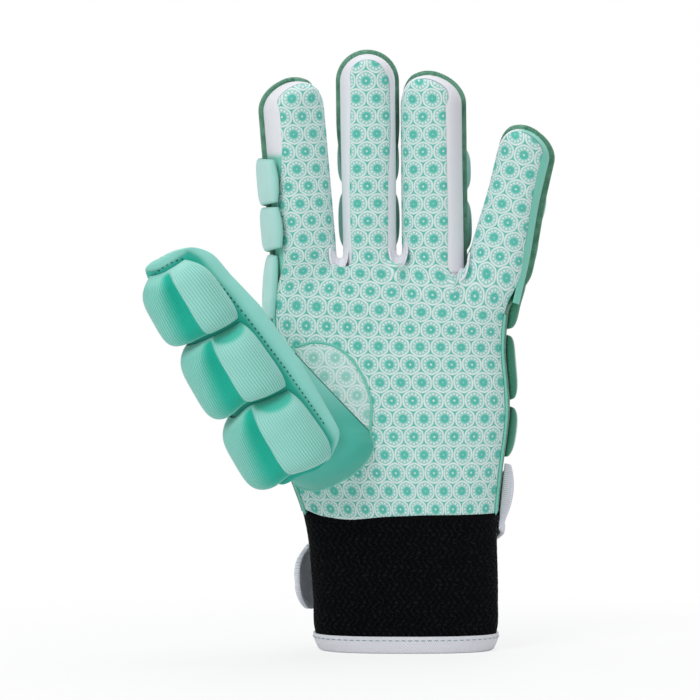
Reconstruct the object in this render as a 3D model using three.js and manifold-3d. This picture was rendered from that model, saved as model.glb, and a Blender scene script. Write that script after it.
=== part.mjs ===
// A left-hand field hockey glove for indoor play, as if on a hand: it stands on the rim of its cuff, palm to the front.
// Millimetres. +X runs to the little finger's side, +Y from the palm to the back of the hand, +Z up along the fingers.
// Every panel and pad is laid on one of three surfaces: the hand, a finger or the thumb. Each surface is a section
// function, which gives the closed outline of the limb at a place along it.
import * as THREE from "three";
import { mergeVertices } from "three/addons/utils/BufferGeometryUtils.js";
import Module from "manifold-3d";

const wasm = await Module();
wasm.setup();

// Fabric, seams and clearances
const panelWall = 1.6; // printed or knitted shell with its lining
const seamGap = 0.3; // between two panels that are sewn edge to edge
const seatGap = 0.3; // between a pad and the panel that carries it
const jointGap = 0.6; // across a finger where it bends
const overrun = 4; // how far a cutter runs past what it cuts
const shortStep = 1; // rings of a surface lie further apart than this
const weldStep = 1e-4; // corners nearer than this are one corner
const wide = 200; // larger than the glove, for cutters that take everything on one side of a plane
const handSides = 36; // facets round a limb
const fingerSides = 20;
const thumbSides = 20;

// Hand and wrist
const handHeight = 157; // rim of the cuff to the webs between the fingers
const palmHalfWidth = 48.4;
const wristHalfDepth = 19.5;
const handSquareness = 2.6; // exponent of the outline: 2 is an ellipse
const knuckleSlope = 5; // degrees that the line of the knuckles falls towards the little finger
const palmSeamShare = 0.42; // where the side seam lies, as a share of the depth in front
const cuffHeight = 54.5;
const cuffWall = 2.2;
const bindingHeight = 6.5;
const bindingWall = 1.3;
const webCap = 4.5; // height of the rounded top of the hand between the fingers
const webHalfWidth = 4.2; // the white gusset at the foot of each gap between two fingers
const webDrop = 9;
const webFront = 3.5;
const webBack = 10.5;
const capShares = [0, 0.6, 0.97]; // rings of the rounded top
const slopeStartShare = 0.7; // of the hand's height, from which its sections take on the knuckles' slope

// The hand's outline, as shares of the sizes above, from the rim up to the webs.
const handShares = [
  { height: 0, width: 0.715, centre: -0.01, front: 0.92, back: 0.92 },
  { height: 0.05, width: 0.768, centre: -0.012, front: 0.935, back: 0.935 },
  { height: 0.13, width: 0.779, centre: -0.015, front: 0.95, back: 0.95 },
  { height: 0.35, width: 0.82, centre: -0.06, front: 1, back: 0.97 },
  { height: 0.46, width: 0.9, centre: -0.104, front: 1, back: 0.92 },
  { height: 0.6, width: 0.985, centre: -0.13, front: 0.95, back: 0.86 },
  { height: 0.8, width: 0.985, centre: -0.159, front: 0.81, back: 0.78 },
  { height: 0.9, width: 1.002, centre: -0.142, front: 0.73, back: 0.71 },
  { height: 1, width: 1.037, centre: -0.08, front: 0.66, back: 0.66 },
];

// Fingers. placeShare is where a finger's middle lies at its knuckle plane, as a share of the palm's half width, and
// rise is how far that plane lies over the webs; lean is to the little finger's side, in degrees; twist turns the
// finger about its own length, in degrees; bend is the distance from knuckle to middle joint; tipDrift is how far the
// end of the tip lies to one side.
const fingerRoot = 14; // how far a finger's tube runs down inside the hand
const fingerSquareness = 2.5;
const rootTaperShare = 0.3; // by which a finger's tube narrows towards its foot inside the hand
const backProud = 1.7; // the padded knit of the back stands this far past the side walls
const rootShoulderShare = 0.35; // of its foot, which keeps the width that it has at the knuckle
const fingerCurl = 5; // the tips come forward by this much
const tipTiltShare = 0.17; // by which the back of a tip stands higher than its front, for each unit of depth
const widthRunShare = 0.6; // of its length, over which a finger passes from the width at its foot to that at its tip
const fingerEndShares = [0, 0.5, 0.8, 0.985]; // rings of a rounded tip
const frontSeamShare = 0.78; // front seam of a finger, as a share of its half depth
const backSeamShare = 0.3;
const fingers = [
  {
    name: "index",
    placeShare: -0.8554,
    rise: 4.5,
    lean: -4.7,
    length: 67.5,
    halfWidth: [12, 12],
    halfDepth: [12.4, 11],
    twist: 23,
    bend: 18.5,
    tipDrift: 3,
  },
  {
    name: "middle",
    placeShare: -0.314,
    rise: 4,
    lean: -0.8,
    length: 79,
    halfWidth: [10.9, 11.2],
    halfDepth: [12.6, 11.2],
    twist: 0,
    bend: 26,
    tipDrift: 0,
  },
  {
    name: "ring",
    placeShare: 0.2149,
    rise: 2.5,
    lean: -0.8,
    length: 72,
    halfWidth: [12.3, 12.2],
    halfDepth: [12.4, 11],
    twist: -14,
    bend: 24,
    tipDrift: -2.5,
  },
  {
    name: "little",
    placeShare: 0.7562,
    rise: -1.5,
    lean: 13,
    length: 55,
    halfWidth: [12.2, 10.6],
    halfDepth: [11.6, 10],
    twist: -10,
    bend: 18,
    tipDrift: -2.5,
  },
];

// Thumb: its stall lies in front of the palm and is closed at both ends, and a mound joins it to the palm.
// Its places are given from the palm: out past its thumb side, proud of the wrist's front, and the drop from the webs.
const thumbFoot = { out: -10.6, proud: 0.7, drop: 81 }; // middle of the stall's lower end
const thumbKnuckle = { out: 10.2, proud: 11.7, drop: 49.7 }; // middle of the stall at its first bend
const thumbTip = { out: 42.8, proud: 27.6, drop: 0.2 };
const thumbHalfWidth = [14.5, 10]; // foot, tip
const thumbHalfDepth = [14.5, 11];
const thumbSquareness = 2.4;
const thumbTurn = 20; // degrees that the guard faces towards the thumb's outer side
const thumbTipBend = 31; // from the first bend to the second
const thumbKink = 20; // length over which the stall turns at its first bend
const thumbEndShares = [0, 0.45, 0.8, 0.985]; // rings of its rounded ends
const moundCentre = { out: -13.9, proud: -8.5, drop: 63 };
const moundHalf = [20.5, 17, 29.5];
const webSeamFoot = { out: -34.4, proud: -19.5, drop: 70.4 }; // where the seam of the printed web meets the palm
const webSeamSlope = 45;

// Foam pads
const padEdge = 1.4; // thickness of a pad at its rim
const fingerPadHeight = 6.5;
const padFacet = 15; // degrees of a limb's outline to each column of a pad's facets
const handPadHeight = 8.5;
const padGroove = 1.6; // between two neighbouring pads
const guardPlate = 2.4; // the stitched foam plate under the thumb's blocks
const guardBlockHeight = 11;
const guardBlockLeft = [66, 47]; // degrees round the stall to the left of the guard's middle, at its foot and tip
const guardBlockRight = [50, 50];
const guardPlateLeft = [72, 64];
const guardPlateRight = [66, 84];
const guardTrim = 3; // the plate shows past the end blocks by this much
const guardOverhang = 4.7; // of the plate past the tip of the stall
const guardFoot = 3.1; // the guard starts this far up the stall
const guardRows = 6; // facets along each of its parts
const guardNarrowing = { foot: 0.3, head: 0.55 }; // by which the guard's ends draw in
const guardValleyShare = 0.42; // height left in the valley between a block's two lobes
const guardValleyWidth = 8; // degrees
const guardValley = [-7, 5]; // degrees from the guard's middle to the valley, at its foot and tip
const guardSkew = [3.2, 3.2, 1.5, 0]; // drop of the rows' right side at the foot, the two bends and the tip
const fingerPadSpan = [42, 138]; // degrees round a finger, with 90 at its back
const indexPadSpan = [48, 212]; // on round the outer side, up to the front seam
const tipPadShare = 0.39; // of a finger's length past its middle joint, that the tip's pad covers
const knucklePadFootShare = 0.735; // feet of the hand's pads, as shares of the way from the cuff to the webs
const middlePadFootShare = 0.436;
const wristPadFootShare = 0.21;
const padRows = 5; // facets along a pad
const handPadSpan = [-6, 192]; // degrees, from the inner to the outer edge of the pads on the back of the hand
const knucklePadShares = [-0.5, 0, 0.5]; // grooves between the knuckle pads, as shares of the half width
const wristPadShare = -0.72; // outer edge of the wrist pad
const thinStartShare = 0.5; // a pad that thins to one side starts to thin this far before its middle
const thinRunShare = 0.8;
const outerThinShare = 0.3; // of its height, left at the outer side
const innerThinShare = 0.5;

// Wrist strap
const strapWidth = 26;
const strapWall = 2.6;
const strapLift = 1.9; // over the cuff, with the loop patch between
const strapSpan = [-4, 166]; // degrees round the wrist, from its anchor to where it leaves the cuff
const strapHeights = [62, 27]; // middle of the strap at its anchor and at its free end
const strapTail = 7; // the rounded end that stands past the cuff
const strapRoundShare = 0.12; // of its length, over which the free end is rounded
const strapTipShare = 0.96; // how far that curve runs on before the end is cut square
const strapRows = 24;
const patchRows = 14;
const patchWall = 1.2;
const patchShares = [0.54, 0.95]; // from the anchor to where the strap leaves the cuff

const colours = {
  print: 0xbfe6dc,
  mint: 0x7fd3bf,
  teal: 0x4fc3aa,
  white: 0xeef0f4,
  heather: 0x3f7f66,
  black: 0x17181c,
  patch: 0xdfe2e6,
};

const degrees = THREE.MathUtils.degToRad;
const lerp = THREE.MathUtils.lerp;
const clamp = THREE.MathUtils.clamp;
const smooth = (t) => THREE.MathUtils.smoothstep(t, 0, 1);
const fromPalm = ({ out, proud, drop }) =>
  new THREE.Vector3(-palmHalfWidth - out, -wristHalfDepth - proud, handHeight - drop);
const power = (value, exponent) => Math.sign(value) * Math.abs(value) ** exponent;

// Solids

function toSolid(geometry) {
  const bare = new THREE.BufferGeometry();
  bare.setAttribute("position", geometry.getAttribute("position"));
  bare.setIndex(geometry.getIndex());
  const merged = mergeVertices(bare, weldStep);
  const index = merged.getIndex().array;
  const kept = [];
  for (let i = 0; i < index.length; i += 3) {
    const [a, b, c] = index.slice(i, i + 3);
    if (a !== b && b !== c && c !== a) kept.push(a, b, c);
  }
  return new wasm.Manifold(
    new wasm.Mesh({
      numProp: 3,
      vertProperties: merged.getAttribute("position").array,
      triVerts: new Uint32Array(kept),
    }),
  );
}

function toGeometry(solid) {
  const mesh = solid.getMesh();
  const geometry = new THREE.BufferGeometry();
  const positions = new Float32Array(mesh.numVert * 3);
  for (let i = 0; i < mesh.numVert; i++) {
    positions.set(mesh.vertProperties.subarray(i * mesh.numProp, i * mesh.numProp + 3), i * 3);
  }
  geometry.setAttribute("position", new THREE.BufferAttribute(positions, 3));
  geometry.setIndex(new THREE.BufferAttribute(new Uint32Array(mesh.triVerts), 1));
  geometry.computeVertexNormals();
  return geometry;
}

function boxSolid(low, high, frame = new THREE.Matrix4()) {
  const size = high.map((value, k) => value - low[k]);
  const geometry = new THREE.BoxGeometry(...size);
  geometry.translate(...high.map((value, k) => (value + low[k]) / 2));
  geometry.applyMatrix4(frame);
  return toSolid(geometry);
}

// The bodies of a solid that has been cut apart, largest first.
function bodiesOf(solid) {
  return solid.decompose().sort((a, b) => b.volume() - a.volume());
}

// The middle of a body's box, along a direction.
function reach(solid, direction) {
  const box = solid.boundingBox();
  const middle = new THREE.Vector3(...box.min).add(new THREE.Vector3(...box.max)).multiplyScalar(0.5);
  return middle.dot(direction);
}

// Surfaces

// A point on a section's outline. Angle 0 is across, to the little finger's side, and 90 degrees is the back.
function outlinePoint(section, angle) {
  const x = power(Math.cos(angle), 2 / section.squareness);
  const y = power(Math.sin(angle), 2 / section.squareness);
  const depth = y < 0 ? section.front : section.back;
  return section.centre
    .clone()
    .addScaledVector(section.across, section.halfWidth * x)
    .addScaledVector(section.rear, depth * y);
}

// A closed solid through a limb's outlines at the given places.
function loft(sectionAt, places, sides) {
  const points = [];
  const index = [];
  for (const place of places) {
    const section = sectionAt(place);
    for (let i = 0; i < sides; i++) {
      points.push(outlinePoint(section, (i / sides) * 2 * Math.PI));
    }
  }
  const at = (row, i) => row * sides + (i % sides);
  for (let row = 0; row + 1 < places.length; row++) {
    for (let i = 0; i < sides; i++) {
      index.push(at(row, i), at(row, i + 1), at(row + 1, i + 1));
      index.push(at(row, i), at(row + 1, i + 1), at(row + 1, i));
    }
  }
  for (const [row, first, second] of [
    [0, 1, 0],
    [places.length - 1, 0, 1],
  ]) {
    const hub = points.length;
    points.push(sectionAt(places[row]).centre.clone());
    for (let i = 0; i < sides; i++) {
      index.push(hub, at(row, i + first), at(row, i + second));
    }
  }
  const geometry = new THREE.BufferGeometry().setFromPoints(points);
  geometry.setIndex(index);
  return toSolid(geometry);
}

// Outward normal of a limb's surface, from points a small step away along and round it.
function surfaceNormal(sectionAt, angle, place) {
  const turnStep = degrees(0.5);
  const placeStep = panelWall / 8;
  const round = outlinePoint(sectionAt(place), angle + turnStep).sub(
    outlinePoint(sectionAt(place), angle - turnStep),
  );
  const along = outlinePoint(sectionAt(place + placeStep), angle).sub(
    outlinePoint(sectionAt(place - placeStep), angle),
  );
  return round.cross(along).normalize();
}

// Evenly spaced shares from 0 to 1.
function shares(count) {
  return Array.from({ length: count + 1 }, (_, i) => i / count);
}

// A closed solid between an inner and an outer grid of points, both functions of two shares.
function slabSolid(columns, rows, inner, outer) {
  const points = [];
  const index = [];
  for (const layer of [inner, outer]) {
    for (const v of shares(rows)) {
      for (const u of shares(columns)) points.push(layer(u, v));
    }
  }
  const size = (columns + 1) * (rows + 1);
  const at = (layer, i, j) => layer * size + j * (columns + 1) + i;
  const quad = (a, b, c, d) => index.push(a, b, c, a, c, d);
  for (let j = 0; j < rows; j++) {
    for (let i = 0; i < columns; i++) {
      quad(at(1, i, j), at(1, i + 1, j), at(1, i + 1, j + 1), at(1, i, j + 1));
      quad(at(0, i, j), at(0, i, j + 1), at(0, i + 1, j + 1), at(0, i + 1, j));
    }
  }
  for (let i = 0; i < columns; i++) {
    quad(at(0, i, 0), at(0, i + 1, 0), at(1, i + 1, 0), at(1, i, 0));
    quad(at(0, i + 1, rows), at(0, i, rows), at(1, i, rows), at(1, i + 1, rows));
  }
  for (let j = 0; j < rows; j++) {
    quad(at(0, 0, j + 1), at(0, 0, j), at(1, 0, j), at(1, 0, j + 1));
    quad(at(0, columns, j), at(0, columns, j + 1), at(1, columns, j + 1), at(1, columns, j));
  }
  const geometry = new THREE.BufferGeometry().setFromPoints(points);
  geometry.setIndex(index);
  return toSolid(geometry);
}

// A foam pad on a limb: its inner face follows the limb at a lift, and its outer face is a crowned block.
// spot(p, q) gives the angle and the place at p across and q along, both from -1 to 1, and crown(p, q) the share of
// the height there.
function padSolid({ sectionAt, spot, columns, rows, lift, edge, height, crown }) {
  const layer = (thickness) => (u, v) => {
    const [p, q] = [2 * u - 1, 2 * v - 1];
    const [angle, place] = spot(p, q);
    const normal = surfaceNormal(sectionAt, angle, place);
    return outlinePoint(sectionAt(place), angle).addScaledVector(normal, lift + thickness(p, q));
  };
  return slabSolid(
    columns,
    rows,
    layer(() => 0),
    layer((p, q) => edge + (height - edge) * crown(p, q)),
  );
}

// The spots of a pad between two angles and two places.
const spotIn = (span, places) => (p, q) => [lerp(...span, (p + 1) / 2), lerp(...places, (q + 1) / 2)];

// Facets across a pad that spans an angle.
const columnsIn = (angle) => 2 * Math.ceil(angle / 2 / degrees(padFacet));

// Share of a pillow's height at a distance t from its middle, where 1 is its rim.
function pillow(t) {
  return Math.sqrt(1 - Math.min(1, Math.abs(t)) ** 3);
}

// A pad's crown, which may thin towards the side of its larger (1) or smaller (-1) angle.
const pillowCrown = (thinSide = 0, thinShare = 1) => (p, q) => {
  const thin = lerp(1, thinShare, smooth((thinSide * p + thinStartShare) / thinRunShare));
  return pillow(p) * pillow(q) * thin;
};

// The hand

function handSection(place, inset = 0) {
  const top = handHeight - inset;
  const share = clamp(place / handHeight, 0, 1);
  let k = 0;
  while (k < handShares.length - 2 && share > handShares[k + 1].height) k++;
  const [low, high] = [handShares[k], handShares[k + 1]];
  const t = clamp((share - low.height) / (high.height - low.height), 0, 1);
  const from = (key) => lerp(low[key], high[key], t);
  const capStart = top - webCap;
  const cap = place > capStart ? Math.sqrt(1 - Math.min(capShares.at(-1), (place - capStart) / webCap) ** 2) : 1;
  const slope = degrees(knuckleSlope) * smooth((share - slopeStartShare) / (1 - slopeStartShare));
  return {
    centre: new THREE.Vector3(from("centre") * palmHalfWidth, 0, place),
    across: new THREE.Vector3(Math.cos(slope), 0, -Math.sin(slope)),
    rear: new THREE.Vector3(0, 1, 0),
    halfWidth: from("width") * palmHalfWidth - inset - (1 - cap) * webCap,
    front: (from("front") * wristHalfDepth - inset) * cap,
    back: (from("back") * wristHalfDepth - inset) * cap,
    squareness: handSquareness,
  };
}

// Heights of the hand's table rows between two heights.
function rowsBetween(from, to) {
  return handShares
    .map((row) => row.height * handHeight)
    .filter((height) => height > from + shortStep && height < to - shortStep);
}

const handPlaces = (from, inset) => {
  const cap = handHeight - inset - webCap;
  return [from, ...rowsBetween(from, cap), ...capShares.map((share) => cap + webCap * share)];
};

// Where a limb's outline is a given share of its half width from its middle, on the back: an angle.
function angleAtShare(share) {
  return Math.acos(power(share, handSquareness / 2));
}

// The fingers

function fingerFrame(finger) {
  const lean = degrees(finger.lean);
  const across = new THREE.Vector3(Math.cos(lean), 0, -Math.sin(lean));
  const along = new THREE.Vector3(Math.sin(lean), 0, Math.cos(lean));
  const base = new THREE.Vector3(finger.placeShare * palmHalfWidth, 0, handHeight + finger.rise);
  return { across, along, rear: new THREE.Vector3(0, 1, 0), base };
}

function fingerSection(finger, place, inset = 0) {
  const { across, along, rear, base } = fingerFrame(finger);
  const share = clamp(place / finger.length, 0, 1);
  const depthShare = (-place / fingerRoot - rootShoulderShare) / (1 - rootShoulderShare);
  const taper = 1 - rootTaperShare * smooth(depthShare);
  const halfWidth = lerp(...finger.halfWidth, smooth(share / widthRunShare)) * taper - inset;
  const halfDepth = lerp(...finger.halfDepth, share) * taper - inset;
  const tip = finger.length - inset;
  const round = clamp((place - (tip - halfWidth)) / halfWidth, 0, fingerEndShares.at(-1));
  const drift = finger.tipDrift * clamp((place - (tip - halfWidth)) / (halfWidth + inset), 0, 1) ** 2;
  const sides = Math.sqrt(1 - round ** 2);
  const faces = (1 - round ** 5) ** (1 / 3);
  const turn = degrees(finger.twist);
  return {
    centre: base
      .clone()
      .addScaledVector(along, place)
      .addScaledVector(across, drift)
      .addScaledVector(rear, -fingerCurl * share ** 2),
    across: across.clone().multiplyScalar(Math.cos(turn)).addScaledVector(rear, Math.sin(turn)),
    rear: rear
      .clone()
      .multiplyScalar(Math.cos(turn))
      .addScaledVector(across, -Math.sin(turn))
      .addScaledVector(along, tipTiltShare * smooth(share)),
    halfWidth: halfWidth * sides,
    front: halfDepth * faces,
    back: halfDepth * faces,
    squareness: fingerSquareness,
  };
}

// The frame of a finger at its knuckle plane: x across, y to the back and z along.
function fingerMatrix(finger) {
  const { across, along, rear, base } = fingerFrame(finger);
  return new THREE.Matrix4().makeBasis(across, rear, along).setPosition(base);
}

const fingerPlaces = (finger, inset) => {
  const tip = finger.length - inset;
  const round = finger.halfWidth[1] - inset;
  return [
    -fingerRoot,
    -fingerRoot / 2,
    0,
    finger.bend,
    ...fingerEndShares.map((share) => tip - round * (1 - share)),
  ];
};

// The thumb

const thumbParts = (() => {
  const foot = fromPalm(thumbFoot);
  const knuckle = fromPalm(thumbKnuckle);
  const tip = fromPalm(thumbTip);
  const lower = foot.distanceTo(knuckle);
  const upper = knuckle.distanceTo(tip);
  return { foot, knuckle, tip, lower, length: lower + upper, bends: [lower, lower + thumbTipBend] };
})();

function thumbSection(place, inset = 0) {
  const { foot, knuckle, tip, lower, length } = thumbParts;
  const down = foot.clone().sub(knuckle).normalize();
  const up = tip.clone().sub(knuckle).normalize();
  const centre = knuckle.clone();
  if (place < lower) centre.addScaledVector(down, lower - place);
  else centre.addScaledVector(up, place - lower);
  const blend = smooth((place - lower) / thumbKink + 0.5);
  const along = down.clone().negate().lerp(up, blend).normalize();
  const turn = degrees(thumbTurn);
  const guard = new THREE.Vector3(-Math.sin(turn), -Math.cos(turn), 0);
  guard.addScaledVector(along, -guard.dot(along)).normalize();
  const share = clamp(place / length, 0, 1);
  const halfWidth = lerp(...thumbHalfWidth, share) - inset;
  const halfDepth = lerp(...thumbHalfDepth, share) - inset;
  const high = (place - (length - inset - halfWidth)) / halfWidth;
  const low = (halfWidth + inset - place) / halfWidth;
  const round = clamp(Math.max(high, low), 0, thumbEndShares.at(-1));
  return {
    centre,
    across: along.clone().cross(guard),
    rear: guard.clone().negate(),
    halfWidth: halfWidth * Math.sqrt(1 - round ** 2),
    front: halfDepth * (1 - round ** 4) ** (1 / 3),
    back: halfDepth * (1 - round ** 4) ** (1 / 3),
    squareness: thumbSquareness,
  };
}

const thumbPlaces = (inset) => {
  const { length, bends } = thumbParts;
  const foot = thumbHalfWidth[0] - inset;
  const tip = thumbHalfWidth[1] - inset;
  return [
    ...thumbEndShares.toReversed().map((share) => inset + foot * (1 - share)),
    bends[0],
    bends[1],
    ...thumbEndShares.map((share) => length - inset - tip * (1 - share)),
  ];
};

// The frame of the thumb at a place: x across, y to the palm's side and z along.
function thumbMatrix(place) {
  const section = thumbSection(place);
  const along = section.across.clone().cross(section.rear);
  return new THREE.Matrix4().makeBasis(section.across, section.rear, along).setPosition(section.centre);
}

// The guard's section: as the stall's at its front, but with no rounded ends.
function guardSection(place) {
  const section = thumbSection(clamp(place, thumbHalfWidth[0], thumbParts.length - thumbHalfWidth[1]));
  const share = clamp(place / thumbParts.length, 0, 1);
  return {
    ...section,
    centre: thumbSection(place).centre,
    halfWidth: lerp(...thumbHalfWidth, share),
    front: lerp(...thumbHalfDepth, share),
    back: lerp(...thumbHalfDepth, share),
  };
}

function mound(inset) {
  const geometry = new THREE.SphereGeometry(1, 20, 12);
  geometry.scale(...moundHalf.map((half) => half - inset));
  geometry.translate(...fromPalm(moundCentre).toArray());
  return toSolid(geometry);
}

// The room that the stall needs to bend: everything past its first bend, as wide as the stall.
function stallRoom(grow) {
  const half = thumbHalfWidth[0] + seamGap + grow;
  return between(thumbMatrix(thumbParts.bends[0]), -jointGap / 2 - grow, wide, half);
}

const moundBody = (inset) => mound(inset).subtract(stallRoom(inset));

// Envelopes, each outside or inside by an inset

const handBody = (inset, from) =>
  loft((place) => handSection(place, inset), handPlaces(from, inset), handSides);
const fingerBody = (finger, inset) =>
  loft((place) => fingerSection(finger, place, inset), fingerPlaces(finger, inset), fingerSides);
const thumbBody = (inset) =>
  loft((place) => thumbSection(place, inset), thumbPlaces(inset), thumbSides);

// Everything between two distances along a limb's frame.
function between(frame, from, to, half = wide) {
  return boxSolid([-half, -wide, from], [half, wide, to], frame);
}

const pieces = [];
function addPiece(name, colour, solid, roughness = 0.85) {
  const material = new THREE.MeshStandardMaterial({ color: colours[colour], roughness, metalness: 0 });
  const mesh = new THREE.Mesh(toGeometry(solid), material);
  mesh.name = name;
  pieces.push(mesh);
}

// Fingers: a base and a tip, each a printed front, white side walls, a knitted back and a foam pad

// Everything on the back of a finger, behind the seam of its padded back.
function backSpace(finger) {
  return slice(finger, [-wide, backSeamOf(finger) + seamGap / 2], [wide, wide]);
}

function seamDepthOf(finger) {
  return lerp(...finger.halfDepth, finger.bend / finger.length);
}

const frontSeamOf = (finger) => -frontSeamShare * seamDepthOf(finger);
const backSeamOf = (finger) => backSeamShare * seamDepthOf(finger);

// A block that runs the whole length of a finger, between two corners of its turned section.
function slice(finger, low, high) {
  const turned = fingerMatrix(finger).multiply(new THREE.Matrix4().makeRotationZ(degrees(finger.twist)));
  return boxSolid([low[0], low[1], -wide], [high[0], high[1], wide], turned);
}

function buildFinger(finger) {
  const frame = fingerMatrix(finger);
  const hollow = fingerBody(finger, panelWall);
  const shell = fingerBody(finger, 0).subtract(hollow);
  const thick = fingerBody(finger, -backProud).subtract(hollow);
  const tube = { base: [jointGap / 2, finger.bend - jointGap / 2], tip: [finger.bend + jointGap / 2, wide] };
  const outward = { index: -1, little: 1 }[finger.name] ?? 0;
  const frontSeam = frontSeamOf(finger);
  const beforeSeam = frontSeam - seamGap / 2;
  const behindSeam = frontSeam + seamGap / 2;
  for (const [part, [from, to]] of Object.entries(tube)) {
    const stretch = between(frame, from, to);
    // The outer side of the index and little finger has no separate wall at the base: the back wraps round it.
    const wrapped = part === "base" ? outward : 0;
    const wallSides = [wrapped < 0 ? 0 : -wide, wrapped > 0 ? 0 : wide];
    const wrapSides = wrapped < 0 ? [-wide, 0] : [0, wide];
    const front = shell.intersect(stretch).intersect(slice(finger, [-wide, -wide], [wide, beforeSeam]));
    const wallTop = backSeamOf(finger) - seamGap / 2;
    const walls = shell
      .intersect(stretch)
      .intersect(slice(finger, [wallSides[0], behindSeam], [wallSides[1], wallTop]));
    let space = backSpace(finger);
    if (wrapped) space = space.add(slice(finger, [wrapSides[0], behindSeam], [wrapSides[1], wide]));
    addPiece(`${finger.name}_${part}_front`, "print", front);
    addPiece(`${finger.name}_${part}_back`, "heather", thick.intersect(stretch).intersect(space));
    const { across } = fingerSection(finger, finger.bend);
    const sides = walls.decompose().sort((a, b) => reach(a, across) - reach(b, across));
    const sideNames = sides.length === 2 ? ["inner_wall", "outer_wall"] : ["side_wall"];
    sides.forEach((wall, i) => addPiece(`${finger.name}_${part}_${sideNames[i]}`, "white", wall));
  }
  buildFingerPads(finger);
}

function buildFingerPads(finger) {
  const outer = finger.name === "index";
  const span = (outer ? indexPadSpan : fingerPadSpan).map((angle) => degrees(angle));
  const padTip = finger.bend + (finger.length - finger.bend) * tipPadShare;
  const rows = {
    base: [jointGap / 2 + padGroove / 2, finger.bend - padGroove / 2],
    tip: [finger.bend + padGroove / 2, padTip],
  };
  for (const [part, places] of Object.entries(rows)) {
    addPiece(
      `${finger.name}_${part}_pad`,
      "mint",
      padSolid({
        sectionAt: (place) => fingerSection(finger, place, -backProud),
        spot: spotIn(span, places),
        columns: columnsIn(span[1] - span[0]),
        rows: padRows,
        lift: seatGap,
        edge: padEdge,
        height: fingerPadHeight,
        crown: outer ? pillowCrown(1, outerThinShare) : pillowCrown(),
      }),
    );
  }
}

// Hand: the printed palm, the knitted back and the webs between the fingers

function buildHand() {
  let outer = handBody(0, cuffHeight + seamGap);
  let hollow = handBody(panelWall, cuffHeight - overrun);
  for (const finger of fingers) {
    const frame = fingerMatrix(finger);
    const below = between(frame, -wide, -jointGap / 2);
    const padded = fingerBody(finger, -backProud).intersect(backSpace(finger));
    outer = outer.add(fingerBody(finger, 0).add(padded).intersect(below));
    hollow = hollow.add(fingerBody(finger, panelWall));
  }
  let shell = outer.subtract(hollow);
  for (const finger of fingers) {
    const half = finger.halfWidth[0] + backProud + seamGap;
    const above = between(fingerMatrix(finger), -jointGap / 2, fingerRoot, half);
    shell = shell.subtract(above);
  }
  shell = shell.subtract(thumbBody(-seamGap)).subtract(moundBody(-seamGap));
  const seamDepth = -palmSeamShare * wristHalfDepth * handShares.at(-1).front;
  const webs = cutWebs(shell, seamDepth);
  const cut = webs.rest.subtract(
    boxSolid([-wide, seamDepth - seamGap / 2, -wide], [wide, seamDepth + seamGap / 2, wide]),
  );
  const halves = bodiesOf(cut).slice(0, 2);
  halves.sort((a, b) => reach(a, new THREE.Vector3(0, 1, 0)) - reach(b, new THREE.Vector3(0, 1, 0)));
  addPiece("palm_panel", "print", halves[0]);
  addPiece("back_panel", "heather", halves[1]);
}

// The white web at the foot of each gap between two fingers.
function cutWebs(shell, seamDepth) {
  let rest = shell;
  for (let i = 0; i + 1 < fingers.length; i++) {
    const [left, right] = [fingers[i], fingers[i + 1]];
    const [leftBase, rightBase] = [fingerFrame(left).base, fingerFrame(right).base];
    const x = (leftBase.x + left.halfWidth[0] + rightBase.x - right.halfWidth[0]) / 2;
    const z = (leftBase.z + rightBase.z) / 2;
    const low = [x - webHalfWidth, seamDepth - webFront, z - webDrop];
    const high = [x + webHalfWidth, seamDepth + webBack, z + webDrop];
    const grown = (sign, corner) => corner.map((value) => value + sign * seamGap);
    const web = shell.intersect(boxSolid(low, high));
    rest = rest.subtract(boxSolid(grown(-1, low), grown(1, high)));
    addPiece(`web_${left.name}_${right.name}`, "white", bodiesOf(web)[0]);
  }
  return { rest };
}

// Cuff: the elastic, and the binding folded over its lower edge

function buildCuff() {
  const tube = (inset, from, to) =>
    loft((place) => handSection(place, inset), [from, ...rowsBetween(from, to), to], handSides);
  const ring = (outside, inside, from, to) =>
    tube(outside, from, to).subtract(tube(inside, from - overrun, to + overrun));
  addPiece("cuff_elastic", "black", ring(0, cuffWall, bindingWall + seamGap, cuffHeight));
  const lip = bindingWall + seamGap;
  const channel = ring(-lip, cuffWall + lip, 0, bindingHeight).subtract(
    ring(-seamGap, cuffWall + seamGap, bindingWall, bindingHeight + overrun),
  );
  addPiece("cuff_binding", "white", channel);
}

// Pads over the knuckles and the back of the hand

// A pad of the hand, cut to seat over the roots of the fingers.
function seated(shape) {
  return fingers.reduce((pad, finger) => pad.subtract(fingerBody(finger, -backProud - seatGap)), padSolid(shape));
}

// The hand's section, without its rounded top: the knuckle pads run on up over the feet of the fingers.
function knuckleSection(place) {
  const section = handSection(Math.min(place, handHeight - webCap));
  section.centre.z = place;
  return section;
}

function handPad(name, span, foot, top, crown) {
  addPiece(
    name,
    "mint",
    bodiesOf(
      seated({
        sectionAt: knuckleSection,
        spot: spotIn(span, [foot + padGroove / 2, top - padGroove / 2]),
        columns: columnsIn(span[1] - span[0]),
        rows: padRows,
        lift: seatGap,
        edge: padEdge,
        height: handPadHeight,
        crown,
      }),
    )[0],
  );
}

// The height on the hand up to which a knuckle pad stays under its finger's knuckle plane.
function knuckleTop(finger) {
  const { base } = fingerFrame(finger);
  const { centre, across } = handSection(handHeight);
  const slope = -across.z;
  const fall = Math.abs(slope - Math.sin(degrees(finger.lean))) * finger.halfWidth[0];
  return base.z + (base.x - centre.x) * slope - fall - padGroove / 2;
}

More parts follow.
